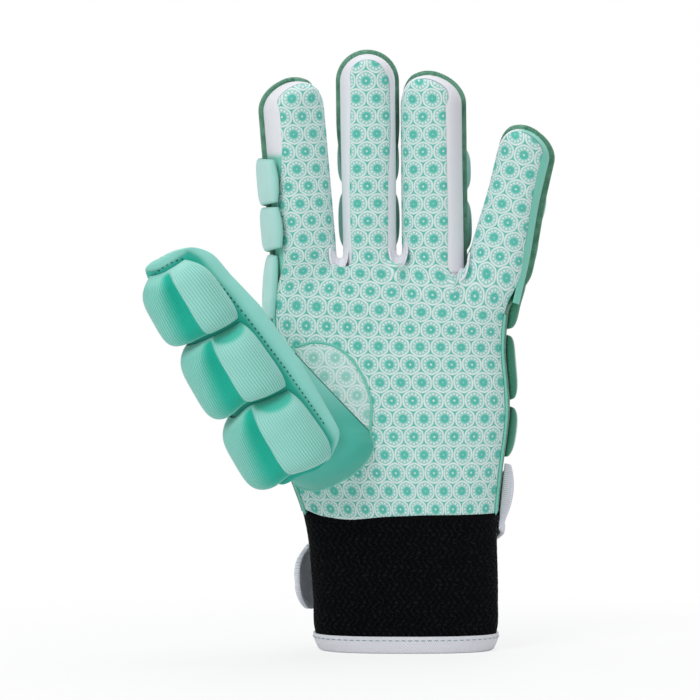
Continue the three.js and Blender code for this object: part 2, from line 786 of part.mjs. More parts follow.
function buildHandPads() {
  const [innerEdge, outerEdge] = handPadSpan.map((angle) => degrees(angle));
  const halfGroove = padGroove / 2 / palmHalfWidth;
  const [knuckleFoot, middleFoot, wristFoot] = [knucklePadFootShare, middlePadFootShare, wristPadFootShare].map(
    (share) => lerp(cuffHeight, handHeight, share),
  );
  const angles = [outerEdge, ...knucklePadShares.map((share) => angleAtShare(share)), innerEdge];
  const middle = angleAtShare(0);
  const outerCrown = pillowCrown(1, outerThinShare);
  const innerCrown = pillowCrown(-1, innerThinShare);
  const crowns = { index: outerCrown, middle: pillowCrown(), ring: pillowCrown(), little: innerCrown };
  fingers.forEach((finger, i) => {
    const span = [angles[i + 1] + halfGroove, angles[i] - halfGroove];
    handPad(`knuckle_pad_${finger.name}`, span, knuckleFoot, knuckleTop(finger), crowns[finger.name]);
  });
  handPad("back_pad_outer", [middle + halfGroove, outerEdge], middleFoot, knuckleFoot, outerCrown);
  handPad("back_pad_inner", [innerEdge, middle - halfGroove], middleFoot, knuckleFoot, innerCrown);
  handPad("wrist_pad", [innerEdge, angleAtShare(wristPadShare)], wristFoot, middleFoot, innerCrown);
}

// Thumb: gusset, printed web, stall and the guard of three double blocks on a stitched plate

function buildThumb() {
  const { bends, length } = thumbParts;
  const shell = thumbBody(0).subtract(thumbBody(panelWall));
  const hand = handBody(-seamGap, cuffHeight - overrun);
  const lowerEnd = between(thumbMatrix(bends[0]), -wide, -jointGap / 2);
  const root = thumbBody(0)
    .intersect(lowerEnd)
    .add(moundBody(0))
    .subtract(thumbBody(panelWall))
    .subtract(moundBody(panelWall))
    .subtract(hand);
  // The seam of the printed web runs up beside the guard.
  const seamFrame = new THREE.Matrix4().makeRotationY(degrees(webSeamSlope)).setPosition(fromPalm(webSeamFoot));
  const above = boxSolid([-wide, -wide, seamGap / 2], [wide, wide, wide], seamFrame);
  const under = boxSolid([-wide, -wide, -wide], [wide, wide, -seamGap / 2], seamFrame);
  addPiece("thumb_web", "print", bodiesOf(root.intersect(above))[0]);
  addPiece("thumb_gusset", "teal", bodiesOf(root.intersect(under))[0]);
  const middle = between(thumbMatrix(bends[0]), jointGap / 2, wide).intersect(
    between(thumbMatrix(bends[1]), -wide, -jointGap / 2),
  );
  addPiece("thumb_stall_middle", "print", bodiesOf(shell.intersect(middle))[0]);
  const tip = between(thumbMatrix(bends[1]), jointGap / 2, wide);
  addPiece("thumb_stall_tip", "print", bodiesOf(shell.intersect(tip))[0]);
  const blockEnds = [
    { name: "lower", from: guardFoot, to: bends[0], foot: true },
    { name: "middle", from: bends[0], to: bends[1] },
    { name: "tip", from: bends[1], to: length + guardOverhang, head: true },
  ];
  for (const block of blockEnds) buildGuard(block);
}

// By how much the guard's rows drop at their right side, at a place along the stall.
function skewAt(place) {
  const stops = [0, ...thumbParts.bends, thumbParts.length];
  const k = Math.max(0, stops.findLastIndex((stop, i) => place >= stop && i < stops.length - 1));
  const t = clamp((place - stops[k]) / (stops[k + 1] - stops[k]), 0, 1);
  return lerp(guardSkew[k], guardSkew[k + 1], t);
}

// The spots of a part of the guard between two places, with its spans to the left and right at foot and tip.
function guardSpots(left, right, places, narrow) {
  return (p, q) => {
    const place = lerp(...places, (q + 1) / 2);
    const span = degrees(lerp(...(p < 0 ? left : right), place / thumbParts.length));
    const turn = p * span * narrow(q);
    return [degrees(-90) + turn, place - (skewAt(place) * turn) / degrees(guardBlockRight[0])];
  };
}

function buildGuard({ name, from, to, foot = false, head = false }) {
  const groove = padGroove / 2;
  const narrow = (q) => {
    const drawn = (q < 0 ? foot && guardNarrowing.foot : head && guardNarrowing.head) || 0;
    return Math.sqrt(1 - drawn * Math.abs(q) ** 3);
  };
  const blockEnds = [from + (foot ? guardTrim : groove), to - (head ? guardTrim : groove)];
  const blockSpots = guardSpots(guardBlockLeft, guardBlockRight, blockEnds, narrow);
  const valley = (p, q) => {
    const [angle, place] = blockSpots(p, q);
    const valleyTurn = lerp(...guardValley, place / thumbParts.length);
    const distance = (angle - degrees(-90 + valleyTurn)) / degrees(guardValleyWidth);
    return 1 - (1 - guardValleyShare) * Math.exp(-(distance ** 2));
  };
  addPiece(
    `guard_plate_${name}`,
    "teal",
    padSolid({
      sectionAt: guardSection,
      spot: guardSpots(guardPlateLeft, guardPlateRight, [from + jointGap / 2, to - jointGap / 2], narrow),
      columns: columnsIn(degrees(guardPlateLeft[0] + guardPlateRight[0])),
      rows: guardRows,
      lift: seatGap,
      edge: guardPlate,
      height: guardPlate,
      crown: () => 0,
    }),
  );
  addPiece(
    `guard_block_${name}`,
    "mint",
    padSolid({
      sectionAt: guardSection,
      spot: blockSpots,
      columns: columnsIn(degrees(guardBlockLeft[0] + guardBlockRight[0])),
      rows: guardRows,
      lift: seatGap + guardPlate + seatGap,
      edge: padEdge,
      height: guardBlockHeight,
      crown: (p, q) => pillow(p) * pillow(q) * valley(p, q),
    }),
  );
}

// Strap: anchored at the little finger's side, it crosses the back of the wrist and ends past the thumb's side

// Length of the strap from its anchor to where it leaves the cuff.
const strapRun = (() => {
  const steps = shares(strapRows).map((share) => {
    return outlinePoint(handSection(lerp(...strapHeights, share)), degrees(lerp(...strapSpan, share)));
  });
  return steps.slice(1).reduce((sum, point, i) => sum + point.distanceTo(steps[i]), 0);
})();

// A point of the strap, at a share along it and a distance above its middle line, at a lift over the wrist.
function strapPoint(share, rise, lift) {
  const along = share * (1 + strapTail / strapRun);
  const angle = degrees(lerp(...strapSpan, Math.min(1, along)));
  const section = handSection(lerp(...strapHeights, Math.min(1, along)) + rise, -lift);
  const point = outlinePoint(section, angle);
  const tangent = outlinePoint(section, angle + degrees(1)).sub(point).normalize();
  if (along > 1) point.addScaledVector(tangent, (along - 1) * strapRun);
  return point;
}

function buildStrap() {
  const halfWidthAt = (share) => {
    const end = clamp(1 - (1 - share) / strapRoundShare, 0, strapTipShare);
    return (strapWidth / 2) * Math.sqrt(1 - end ** 2);
  };
  const layer = (lift) => (u, v) => strapPoint(v, (1 - 2 * u) * halfWidthAt(v), lift);
  addPiece("wrist_strap", "white", slabSolid(2, strapRows, layer(strapLift), layer(strapLift + strapWall)));
  const patchHalf = strapWidth / 2 - 2 * seatGap;
  const patchLayer = (lift) => (u, v) => {
    const share = lerp(...patchShares, v) / (1 + strapTail / strapRun);
    return strapPoint(share, (1 - 2 * u) * patchHalf, lift);
  };
  addPiece("loop_patch", "patch", slabSolid(2, patchRows, patchLayer(seatGap), patchLayer(seatGap + patchWall)));
}

fingers.forEach(buildFinger);
buildHand();
buildCuff();
buildHandPads();
buildThumb();
buildStrap();

// The origin lies under the middle of the glove's box.
const glove = new THREE.Group();
glove.add(...pieces);
const box = new THREE.Box3().setFromObject(glove);
const centre = box.getCenter(new THREE.Vector3());
for (const mesh of pieces) mesh.position.set(-centre.x, -centre.y, -box.min.z);

export default glove;
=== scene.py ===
"""A left-hand field hockey glove for indoor play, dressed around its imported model.

Lengths are millimetres in the hand's frame until put() turns them into the row frame's metres: x runs to
the little finger's side, y from the palm to the back of the hand and z up along the fingers. The three
surfaces that everything lies on, the hand, a finger and the thumb, are the solid model's own sections,
written again with numpy.
"""

import math
from types import SimpleNamespace

import bmesh
import bpy
import numpy as np
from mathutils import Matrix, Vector


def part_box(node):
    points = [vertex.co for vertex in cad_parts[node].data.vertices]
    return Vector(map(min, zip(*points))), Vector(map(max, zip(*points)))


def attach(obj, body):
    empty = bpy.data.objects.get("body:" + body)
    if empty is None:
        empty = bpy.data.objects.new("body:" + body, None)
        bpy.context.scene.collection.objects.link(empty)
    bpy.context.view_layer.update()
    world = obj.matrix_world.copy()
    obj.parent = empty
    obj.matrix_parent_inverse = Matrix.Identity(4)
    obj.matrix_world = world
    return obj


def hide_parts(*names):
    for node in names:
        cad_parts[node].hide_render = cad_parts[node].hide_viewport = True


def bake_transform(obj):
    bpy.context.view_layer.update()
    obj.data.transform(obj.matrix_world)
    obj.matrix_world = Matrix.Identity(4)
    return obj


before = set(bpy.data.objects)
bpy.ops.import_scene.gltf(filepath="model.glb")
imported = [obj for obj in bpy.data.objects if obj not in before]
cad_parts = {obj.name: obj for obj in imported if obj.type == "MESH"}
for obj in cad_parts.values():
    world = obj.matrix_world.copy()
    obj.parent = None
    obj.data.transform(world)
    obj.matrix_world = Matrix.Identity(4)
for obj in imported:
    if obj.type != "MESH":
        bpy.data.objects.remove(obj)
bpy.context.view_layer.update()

MM = 0.001

# Hand and wrist
HAND_HEIGHT = 157.0
PALM_HALF_WIDTH = 48.4
WRIST_HALF_DEPTH = 19.5
HAND_SQUARENESS = 2.6
KNUCKLE_SLOPE = math.radians(5)
PALM_SEAM_SHARE = 0.42
CUFF_HEIGHT = 54.5
CUFF_FOOT = 1.6
BINDING_HEIGHT = 6.5
# Rows of the hand: shares of its height, half width, centre, front depth and back depth
HAND_SHARES = np.array(
    [
        (0, 0.715, -0.01, 0.92, 0.92),
        (0.05, 0.768, -0.012, 0.935, 0.935),
        (0.13, 0.779, -0.015, 0.95, 0.95),
        (0.35, 0.82, -0.06, 1, 0.97),
        (0.46, 0.9, -0.104, 1, 0.92),
        (0.6, 0.985, -0.13, 0.95, 0.86),
        (0.8, 0.985, -0.159, 0.81, 0.78),
        (0.9, 1.002, -0.142, 0.73, 0.71),
        (1, 1.037, -0.08, 0.66, 0.66),
    ]
)

# Fingers
FINGER_SQUARENESS = 2.5
FINGER_CURL = 5.0
TIP_TILT_SHARE = 0.17
BACK_PROUD = 1.7
BACK_SEAM_SHARE = 0.3
COLUMN_FOOT = 138.0  # height on the hand where the palm and the back divide into a column for each finger


def a_finger(base, lean, length, half_width, half_depth, twist, bend, drift, print_keys, proud_keys):
    """A finger's sizes. print_keys gives, for its left and right side, places along it and the print's edge
    there as a share of the half depth; proud_keys gives how far the padded back stands past that side."""
    lean = math.radians(lean)
    return SimpleNamespace(
        base=np.array([base[0], 0.0, base[1]]),
        across=np.array([math.cos(lean), 0.0, -math.sin(lean)]),
        along=np.array([math.sin(lean), 0.0, math.cos(lean)]),
        rear=np.array([0.0, 1.0, 0.0]),
        lean=lean,
        length=length,
        half_width=half_width,
        half_depth=half_depth,
        twist=math.radians(twist),
        bend=bend,
        drift=drift,
        print_keys=np.array(print_keys, float),
        proud_keys=np.array(proud_keys, float),
        seam_depth=half_depth[0] + (half_depth[1] - half_depth[0]) * bend / length,
    )


FINGERS = {
    "index": a_finger(
        (-41.4, 161.5), -4.7, 67.5, (12, 12), (12.4, 11), 23, 18.5, 3.0,
        [[(-8, 0.3), (12, 0.3), (45, 0.68)], [(-6, 0.85), (8, 0.3), (45, 0.3)]],
        [[(0, 1.7), (40, 1.7), (60, 1.7)], [(0, 0.1), (46, 0.1), (64, 1.4)]],
    ),
    "middle": a_finger(
        (-15.2, 161), -0.8, 79, (10.9, 11.2), (12.6, 11.2), 0, 26, 0.0,
        [[(-6, 0.84), (20, 0.78), (60, 0.8)], [(-6, 0.86), (20, 0.8), (55, 0.66)]],
        [[(0, 0.1), (28, 0.1), (52, 2.0)], [(0, 0.1), (28, 0.1), (52, 2.0)]],
    ),
    "ring": a_finger(
        (10.4, 159.5), -0.8, 72, (12.3, 12.2), (12.4, 11), -14, 24, -2.5,
        [[(-6, 0.85), (8, 0.3), (60, 0.35)], [(-6, 0.85), (20, 0.8), (55, 0.78)]],
        [[(0, 0.1), (50, 0.1), (68, 1.4)], [(0, 1.2), (20, 1.7), (60, 1.7)]],
    ),
    "little": a_finger(
        (36.6, 155.5), 13, 55, (12.2, 10.6), (11.6, 10), -10, 18, -2.5,
        [[(-6, 0.8), (6, 0.3), (45, 0.35)], [(-8, 0.5), (10, 0.64), (45, 0.66)]],
        [[(0, 0.1), (36, 0.1), (52, 1.2)], [(0, 2.2), (20, 2.4), (50, 2.2)]],
    ),
}
# Gaps between the fingers: x of the line below each, height of the slot's foot, and the height over which
# it opens
GAPS = [
    SimpleNamespace(left="index", right="middle", x=-28.2, foot=154.4, open_left=4.5, open_right=4.5),
    SimpleNamespace(left="middle", right="ring", x=-4.5, foot=155.6, open_left=4.5, open_right=4.5),
    SimpleNamespace(left="ring", right="little", x=18.2, foot=150.4, open_left=4.5, open_right=11),
]

# Thumb
THUMB_FOOT = np.array([-37.8, -20.2, 76.0])
THUMB_KNUCKLE = np.array([-58.6, -31.2, 107.3])
THUMB_TIP = np.array([-91.2, -47.1, 156.8])
THUMB_HALF_WIDTH = (14.5, 10)
THUMB_HALF_DEPTH = (14.5, 11)
THUMB_SQUARENESS = 2.4
THUMB_TURN = math.radians(20)
THUMB_TIP_BEND = 31
THUMB_KINK = 20
THUMB_LOWER = float(np.linalg.norm(THUMB_FOOT - THUMB_KNUCKLE))
THUMB_LENGTH = THUMB_LOWER + float(np.linalg.norm(THUMB_TIP - THUMB_KNUCKLE))
THUMB_BENDS = (THUMB_LOWER, THUMB_LOWER + THUMB_TIP_BEND)

# Guard
GUARD_PLATE = 2.4
GUARD_FOOT = 3.1
GUARD_OVERHANG = 4.7
GUARD_PLATE_LEFT = np.radians((72, 64))  # spans at the stall's foot and at its tip
GUARD_PLATE_RIGHT = np.radians((66, 84))
GUARD_BLOCK_LEFT = np.radians((66, 47))
GUARD_BLOCK_RIGHT = np.radians((50, 50))
GUARD_BLOCK_HEIGHT = 11.0
GUARD_TRIM = 3.0
GUARD_TIP_TRIM = 5.0
# By how much the plate's right edge stands off the stall, at shares of its length
GUARD_FLARE_SHARES = (0, 0.2, 0.45, 0.7, 0.85, 1)
GUARD_FLARE = (3.2, 5.6, 7.6, 6.6, 3.6, 2.0)
GUARD_VALLEY = np.radians((-7, 5))
GUARD_SKEW = (3.2, 3.2, 1.5, 0)  # drop of the rows' right side at the foot, the two bends and the tip
GUARD_SAG = (4.6, 5.0, 0.6, -1.6)  # and of their left side
GUARD_NARROWING = (0.3, 0.55)
PAD_GROOVE = 1.6
INDEX_PAD_GAP = 0.6
INDEX_KNUCKLE_RISE = 0.9
PAD_FOOT = 1.1
INDEX_PAD_FOOT = 0.4
SEAT_GAP = 0.3

# Pads
FINGER_PAD_HEIGHT = 6.5
HAND_PAD_HEIGHT = 8.5
PAD_RIM = 1.0
WEB_CAP = 4.5
HAND_PAD_SPAN = (-6, 192)
PAD_FOOT_SHARES = (0.21, 0.436, 0.735)  # feet of the hand's pads, on the way from the cuff to the webs
WRIST_PAD_SHARE = -0.72
OUTER_THIN_SHARE = 0.3
OUTER_LAP = 6.0  # degrees by which the pads' covers lap towards the palm at the index finger's side
KNUCKLE_LAP = 12.0  # and the index finger's knuckle pad, up to the print's edge
INNER_THIN_SHARE = 0.5
KNIT_AND_SHADE_SHARES = (0.11, 0.06, 0.038)  # of the width of the pads at the little finger's side that take the knit's colour: partly the knit, partly painted shade on the pads' shaded side

# Strap
STRAP_WIDTH = 26.0
STRAP_WALL = 2.6
STRAP_LIFT = 1.9
STRAP_SPAN = (-4, 166)
STRAP_HEIGHTS = (62, 27)
STRAP_TAIL = 7.0
STRAP_CORE = (-7.0, 0, 43)  # inside the wrist, from which the strap and its patch face away

# Cloth
PRINT_WALL = 0.9
STRETCH_WALL = 0.7
KNIT_WALL = 1.0
LAP = 1.2  # by which one panel runs under the next at a seam
EDGE_ROLL = 0.8  # radius of a panel's turned edge
LIP_ROLL = 0.9


# Numbers


def lerp(a, b, t):
    """a at t 0 and b at t 1."""
    return a + (b - a) * t


def smooth(t):
    """0 before t 0, 1 after t 1 and level at both."""
    t = np.clip(t, 0, 1)
    return t * t * (3 - 2 * t)


def power(value, exponent):
    """Power of the size of a number, with its sign kept."""
    return np.sign(value) * np.abs(value) ** exponent


def unit(vectors):
    """Vectors of length 1."""
    return vectors / np.maximum(np.linalg.norm(vectors, axis=-1, keepdims=True), 1e-12)


def run_of(points):
    """Distance along a line of points from its first one."""
    return np.concatenate([[0], np.cumsum(np.linalg.norm(np.diff(points, axis=0), axis=-1))])


def on_side(share, side):
    """Where a share lies at the left of the spine (side -1), or on it and at its right (side 1)."""
    return share < 0 if side < 0 else share >= 0


def there_and_back(outer, inner=None):
    """A face's columns, then its back's in reverse order, so that a grid closes round both edges."""
    back = outer if inner is None else inner
    return np.concatenate([outer, back[:, ::-1]], axis=1)


def drop_at_edge(distance, roll):
    """How far a rolled edge lies below its panel: a quarter circle over the last roll millimetres."""
    inside = np.clip(roll - distance, 0, roll)
    return roll - np.sqrt(roll**2 - inside**2)


def curve_between(a, b, c, d, f):
    """Catmull-Rom curve from b at f 0 to c at f 1."""
    return 0.5 * (2 * b + (c - a) * f + (2 * a - 5 * b + 4 * c - d) * f**2 + (3 * b - a - 3 * c + d) * f**3)


def spline(keys, count, closed=False):
    """Points evenly in parameter on a Catmull-Rom curve through the keys."""
    keys = np.array(keys, float)
    n = len(keys)
    ends = n if closed else n - 1
    t = np.linspace(0, ends, count, endpoint=not closed)
    k = np.minimum(t.astype(int), ends - 1)

    def key(i):
        return keys[i % n] if closed else keys[np.clip(i, 0, n - 1)]

    return curve_between(key(k - 1), key(k), key(k + 1), key(k + 2), (t - k)[:, None])


def even_shares(edge_ratio, width, depth, squareness, count):
    """Shares of the half width, from a spine to an edge, that lie evenly along a superellipse's face."""
    k = np.linspace(0, 1, 600)
    y = depth * (1 - np.minimum(np.abs(edge_ratio) * k, 1) ** squareness) ** (1 / squareness)
    arc = run_of(np.stack([k * width * abs(edge_ratio), y], -1))
    return np.interp(np.linspace(0, 1, count), arc / arc[-1], k)


# Surfaces: a section is a superellipse across a limb, with angle 0 at the little finger's side and 90 at
# the back


def outline_point(section, angle):
    """Centre + across * half width * cos^(2/n) + rear * depth * sin^(2/n)."""
    x = power(np.cos(angle), 2 / section.squareness)
    y = power(np.sin(angle), 2 / section.squareness)
    depth = np.where(y < 0, section.front, section.back)
    sideways = section.across * (section.width * x)[..., None]
    return section.centre + sideways + section.rear * (depth * y)[..., None]


def outline_normal(section, angle):
    """Outward normal in the section's plane: the slope of the superellipse's equation."""
    n = section.squareness
    x = power(np.cos(angle), 2 / n)
    y = power(np.sin(angle), 2 / n)
    depth = np.where(y < 0, section.front, section.back)
    side = section.across * (power(x, n - 1) / section.width)[..., None]
    return unit(side + section.rear * (power(y, n - 1) / depth)[..., None])


def hand_rows(share):
    """Half width, centre, front and back shares at a height share, on a smooth curve through the rows."""
    heights, table = HAND_SHARES[:, 0], HAND_SHARES[:, 1:]
    slopes = np.gradient(table, heights, axis=0)
    k = np.clip(np.searchsorted(heights, share, side="right") - 1, 0, len(heights) - 2)
    gap = heights[k + 1] - heights[k]
    t = ((share - heights[k]) / gap)[..., None]
    gap = gap[..., None]
    rise = slopes[k] * gap * t * (1 - t) ** 2 - slopes[k + 1] * gap * t**2 * (1 - t)
    return table[k] * (1 - smooth(t)) + table[k + 1] * smooth(t) + rise


def hand_slope(place):
    """Tilt of the hand's sections towards the knuckles."""
    return KNUCKLE_SLOPE * smooth((place / HAND_HEIGHT - 0.7) / 0.3)


def hand_section(place, grow=0.0):
    """The hand's outline at a height, moved outwards by grow."""
    place = np.asarray(place, float)
    rows = hand_rows(np.clip(place / HAND_HEIGHT, 0, 1))
    slope = hand_slope(place)
    zero = np.zeros_like(place)
    return SimpleNamespace(
        centre=np.stack([rows[..., 1] * PALM_HALF_WIDTH, zero, place], -1),
        across=np.stack([np.cos(slope), zero, -np.sin(slope)], -1),
        rear=np.array([0.0, 1.0, 0.0]),
        width=rows[..., 0] * PALM_HALF_WIDTH + grow,
        front=rows[..., 2] * WRIST_HALF_DEPTH + grow,
        back=rows[..., 3] * WRIST_HALF_DEPTH + grow,
        squareness=HAND_SQUARENESS,
    )


def hand_point(angle, place, grow=0.0):
    """A point of the hand's surface."""
    angle, place = np.broadcast_arrays(angle, place)
    return outline_point(hand_section(place, grow), angle)


def hand_angle(x, place, front):
    """Angle at which the hand's outline passes an x, on its front or its back."""
    section = hand_section(place)
    ratio = (x - section.centre[..., 0]) / (section.width * section.across[..., 0])
    angle = np.arccos(power(np.clip(ratio, -1, 1), HAND_SQUARENESS / 2))
    return -angle if front else angle


def girth_table():
    """Angles, and how far round the hand's outline each lies."""
    angles = np.radians(np.linspace(-270, 270, 4321))
    points = hand_point(angles, np.full(angles.shape, HAND_HEIGHT * 0.75))
    return angles, run_of(points)


GIRTH_ANGLES, GIRTH = girth_table()


def girth_of(angle):
    return np.interp(angle, GIRTH_ANGLES, GIRTH)


def angle_at(girth):
    return np.interp(girth, GIRTH, GIRTH_ANGLES)


SEAM_RIGHT = -math.asin(PALM_SEAM_SHARE ** (HAND_SQUARENESS / 2))
SEAM_LEFT = -math.pi - SEAM_RIGHT
FINGER_TAPER_SHARE = 0.6  # of its length over which a finger's width changes


def full_size(finger, place, grow):
    """Half width and half depth at a place along a finger, with no round tip."""
    share = np.clip(place / finger.length, 0, 1)
    width = lerp(*finger.half_width, smooth(share / FINGER_TAPER_SHARE))
    return width + grow, lerp(*finger.half_depth, share) + grow


def finger_size(finger, place, grow=0.0):
    """Half width and half depth at a place along a finger, drawn in to nothing over the round tip."""
    width, depth = full_size(finger, place, grow)
    tip = finger.length + grow
    round_share = np.clip((place - (tip - width)) / width, 0, 1)
    return width * np.sqrt(1 - round_share**2), depth * (1 - round_share**5) ** (1 / 3)


def finger_point(finger, x, place, y):
    """Base + along * place, forward by the curl, with x and y turned by the twist and the tip's back tilted
    up."""
    x, place, y = np.broadcast_arrays(x, place, y)
    share = np.clip(place / finger.length, 0, 1)
    cos, sin = math.cos(finger.twist), math.sin(finger.twist)
    along = place + TIP_TILT_SHARE * smooth(share) * y
    aside = finger.drift * np.clip((place - dome_foot(finger)) / finger.half_width[1], 0, 1) ** 2
    across = x * cos - y * sin + aside
    rear = x * sin + y * cos - FINGER_CURL * share**2
    return (
        finger.base
        + finger.along * along[..., None]
        + finger.across * across[..., None]
        + finger.rear * rear[..., None]
    )


def face_depth(finger, x, place, grow=0.0):
    """Depth of a finger's face at x: d * (1 - |x/w|^n)^(1/n)."""
    width, depth = finger_size(finger, place, grow)
    ratio = np.clip(np.abs(x) / np.maximum(width, 1e-6), 0, 1)
    return depth * (1 - ratio**FINGER_SQUARENESS) ** (1 / FINGER_SQUARENESS)


def rim_x(finger, place, y, grow=0.0):
    """Half width of a finger's outline at the depth y: w * (1 - |y/d|^n)^(1/n)."""
    width, depth = finger_size(finger, place, grow)
    ratio = np.clip(np.abs(y) / np.maximum(depth, 1e-6), 0, 1)
    return width * (1 - ratio**FINGER_SQUARENESS) ** (1 / FINGER_SQUARENESS)


STRAIGHT_SHARE = 0.62  # share of a finger's climbing rows that lie below its round tip


def dome_foot(finger):
    """Place where the round tip starts."""
    return finger.length - finger.half_width[1]


def domed_rim(finger, climb, y, grow=0.0, foot=0.0):
    """Half width and place of the outline at depth y: evenly up to the dome, then by a sine to where it
    closes."""
    climb, y = np.broadcast_arrays(climb, y)
    start = dome_foot(finger)
    radius = finger.half_width[1] + grow
    end = np.full(climb.shape, finger.length, float)
    for _ in range(5):
        depth = lerp(*finger.half_depth, np.clip(end / finger.length, 0, 1)) + grow
        reach = (1 - np.clip(np.abs(y) / depth, 0, 1) ** 3) ** 0.2
        end = start + radius * reach
    turn = np.clip((climb - STRAIGHT_SHARE) / (1 - STRAIGHT_SHARE), 0, 1)
    place = np.where(
        climb < STRAIGHT_SHARE,
        lerp(foot, start, climb / STRAIGHT_SHARE),
        start + (end - start) * np.sin(turn * math.pi / 2),
    )
    x = rim_x(finger, place, y, grow)
    return np.where(climb >= 1, 0.0, x), place


def keyed(keys, side, place):
    """A value from the keys of a finger's left or right side, eased between their places."""
    side, place = np.broadcast_arrays(side, place)
    values = []
    for one in keys:
        k = np.clip(np.searchsorted(one[:, 0], place, side="right") - 1, 0, len(one) - 2)
        t = (place - one[k, 0]) / (one[k + 1, 0] - one[k, 0])
        values.append(lerp(one[k, 1], one[k + 1, 1], smooth(t)))
    return np.where(side < 0, *values)


def print_level(finger, side, place):
    """Depth at which the print's edge runs, negative to the palm; both sides meet at the tip."""
    own = keyed(finger.print_keys, side, place)
    tip = finger.print_keys[:, -1, 1].mean()
    near_tip = smooth((place - dome_foot(finger)) / (0.5 * finger.half_width[1]))
    return -finger.seam_depth * lerp(own, tip, near_tip)


def knit_level(finger, side, place):
    """Depth at which the padded back's front edge runs."""
    return finger.seam_depth * BACK_SEAM_SHARE + 0 * place + 0 * side


def knit_width(finger, x, place):
    """x of the padded back, drawn in on each side to how far it stands past that side's panel."""
    width = lerp(*finger.half_width, smooth(place / finger.length / 0.6))
    proud = keyed(finger.proud_keys, np.sign(x), place)
    return x * (width + proud) / (width + BACK_PROUD)


def thumb_section(place, grow=0.0, domed=True):
    """The stall's outline at a place along the thumb; domed draws it in to nothing at both ends."""
    place = np.asarray(place, float)
    down = unit(THUMB_FOOT - THUMB_KNUCKLE)
    up = unit(THUMB_TIP - THUMB_KNUCKLE)
    past = (place - THUMB_LOWER)[..., None]
    centre = THUMB_KNUCKLE + np.where(past < 0, down * -past, up * past)
    blend = smooth((place - THUMB_LOWER) / THUMB_KINK + 0.5)[..., None]
    along = unit(lerp(-down, up, blend))
    guard = np.array([-math.sin(THUMB_TURN), -math.cos(THUMB_TURN), 0.0])
    guard = unit(guard - along * (along @ guard)[..., None])
    share = np.clip(place / THUMB_LENGTH, 0, 1)
    width = lerp(*THUMB_HALF_WIDTH, share) + grow
    depth = lerp(*THUMB_HALF_DEPTH, share) + grow
    high = np.clip((place - (THUMB_LENGTH + grow - width)) / width, 0, 1)
    low = np.clip((width - grow - place) / width, 0, 1)
    round_share = np.maximum(high, low) if domed else 0 * place
    depth = depth * (1 - round_share**4) ** (1 / 3)
    return SimpleNamespace(
        centre=centre,
        across=np.cross(along, guard),
        rear=-guard,
        width=np.maximum(width * np.sqrt(1 - round_share**2), 1e-6),
        front=np.maximum(depth, 1e-6),
        back=np.maximum(depth, 1e-6),
        squareness=THUMB_SQUARENESS,
    )


def thumb_point(angle, place, grow=0.0, domed=True):
    """A point of the stall's surface."""
    angle, place = np.broadcast_arrays(angle, place)
    return outline_point(thumb_section(place, grow, domed), angle)


def guard_point(angle, place, lift):
    """A point over the stall's front, at a lift along its normal, with no rounded ends."""
    angle, place = np.broadcast_arrays(angle, place)
    section = thumb_section(place, 0.0, False)
    return outline_point(section, angle) + outline_normal(section, angle) * np.asarray(lift)[..., None]


def guard_spot(p, place, spans, narrow=1.0):
    """Angle and place on the guard at p across it, from -1 to 1: its span to each side is drawn in by
    narrow, and its rows drop towards the right and sag at the left."""
    p, place, narrow = np.broadcast_arrays(p, place, narrow)
    left, right = spans
    share = place / THUMB_LENGTH
    turn = p * np.where(p < 0, lerp(*left, share), lerp(*right, share)) * narrow
    sag = np.interp(place, [0, *THUMB_BENDS, THUMB_LENGTH], GUARD_SAG) * smooth(-turn / GUARD_BLOCK_LEFT[1])
    return turn - math.pi / 2, place - guard_skew(place) * turn / GUARD_BLOCK_RIGHT[0] - sag


def guard_skew(place):
    """By how much a row of the guard drops at its right side."""
    return np.interp(place, [0, *THUMB_BENDS, THUMB_LENGTH], GUARD_SKEW)


# The row frame: the solid model's origin lies under the middle of its box


def frame_shift():
    """From the hand's frame to the row frame, found at the lowest corner of the elastic cuff."""
    places = np.append(HAND_SHARES[:, 0] * HAND_HEIGHT, CUFF_HEIGHT)
    places = places[places <= CUFF_HEIGHT]
    angles = np.radians(np.arange(0, 360, 10))
    corner = hand_point(angles[None, :], places[:, None]).reshape(-1, 3).min(axis=0)
    corner[2] = CUFF_FOOT
    return np.array(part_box("cuff_elastic")[0]) / MM - corner


SHIFT = frame_shift()


def put(points):
    """Points of the hand's frame in the row frame's metres."""
    return (np.asarray(points, float) + SHIFT) * MM


# Mesh makers


def new_mesh(name, vertices, faces, finish, uv=None, values=None, weld=0.0):
    """An object from arrays: faces are rows of four corners, uv and values are given for each vertex."""
    mesh = bpy.data.meshes.new(name)
    mesh.vertices.add(len(vertices))
    mesh.vertices.foreach_set("co", put(vertices).ravel())
    mesh.loops.add(faces.size)
    mesh.loops.foreach_set("vertex_index", faces.ravel().astype(np.int32))
    mesh.polygons.add(len(faces))
    mesh.polygons.foreach_set("loop_start", (np.arange(len(faces)) * faces.shape[1]).astype(np.int32))
    mesh.update(calc_edges=True)
    if uv is not None:
        layer = mesh.uv_layers.new(name="cloth")
        layer.data.foreach_set("uv", uv[faces.ravel()].astype(np.float32).ravel())
    for key, value in (values or {}).items():
        mesh.attributes.new(key, "FLOAT", "POINT").data.foreach_set("value", value.astype(np.float32).ravel())
    mesh.validate()
    work = bmesh.new()
    work.from_mesh(mesh)
    if weld:
        bmesh.ops.remove_doubles(work, verts=work.verts, dist=weld * MM)
    for face in work.faces:
        face.smooth = True
    for edge in work.edges:
        edge.smooth = not edge.is_boundary
    work.to_mesh(mesh)
    work.free()
    piece = bpy.data.objects.new(name, mesh)
    bpy.context.collection.objects.link(piece)
    mesh.materials.append(finish)
    return piece


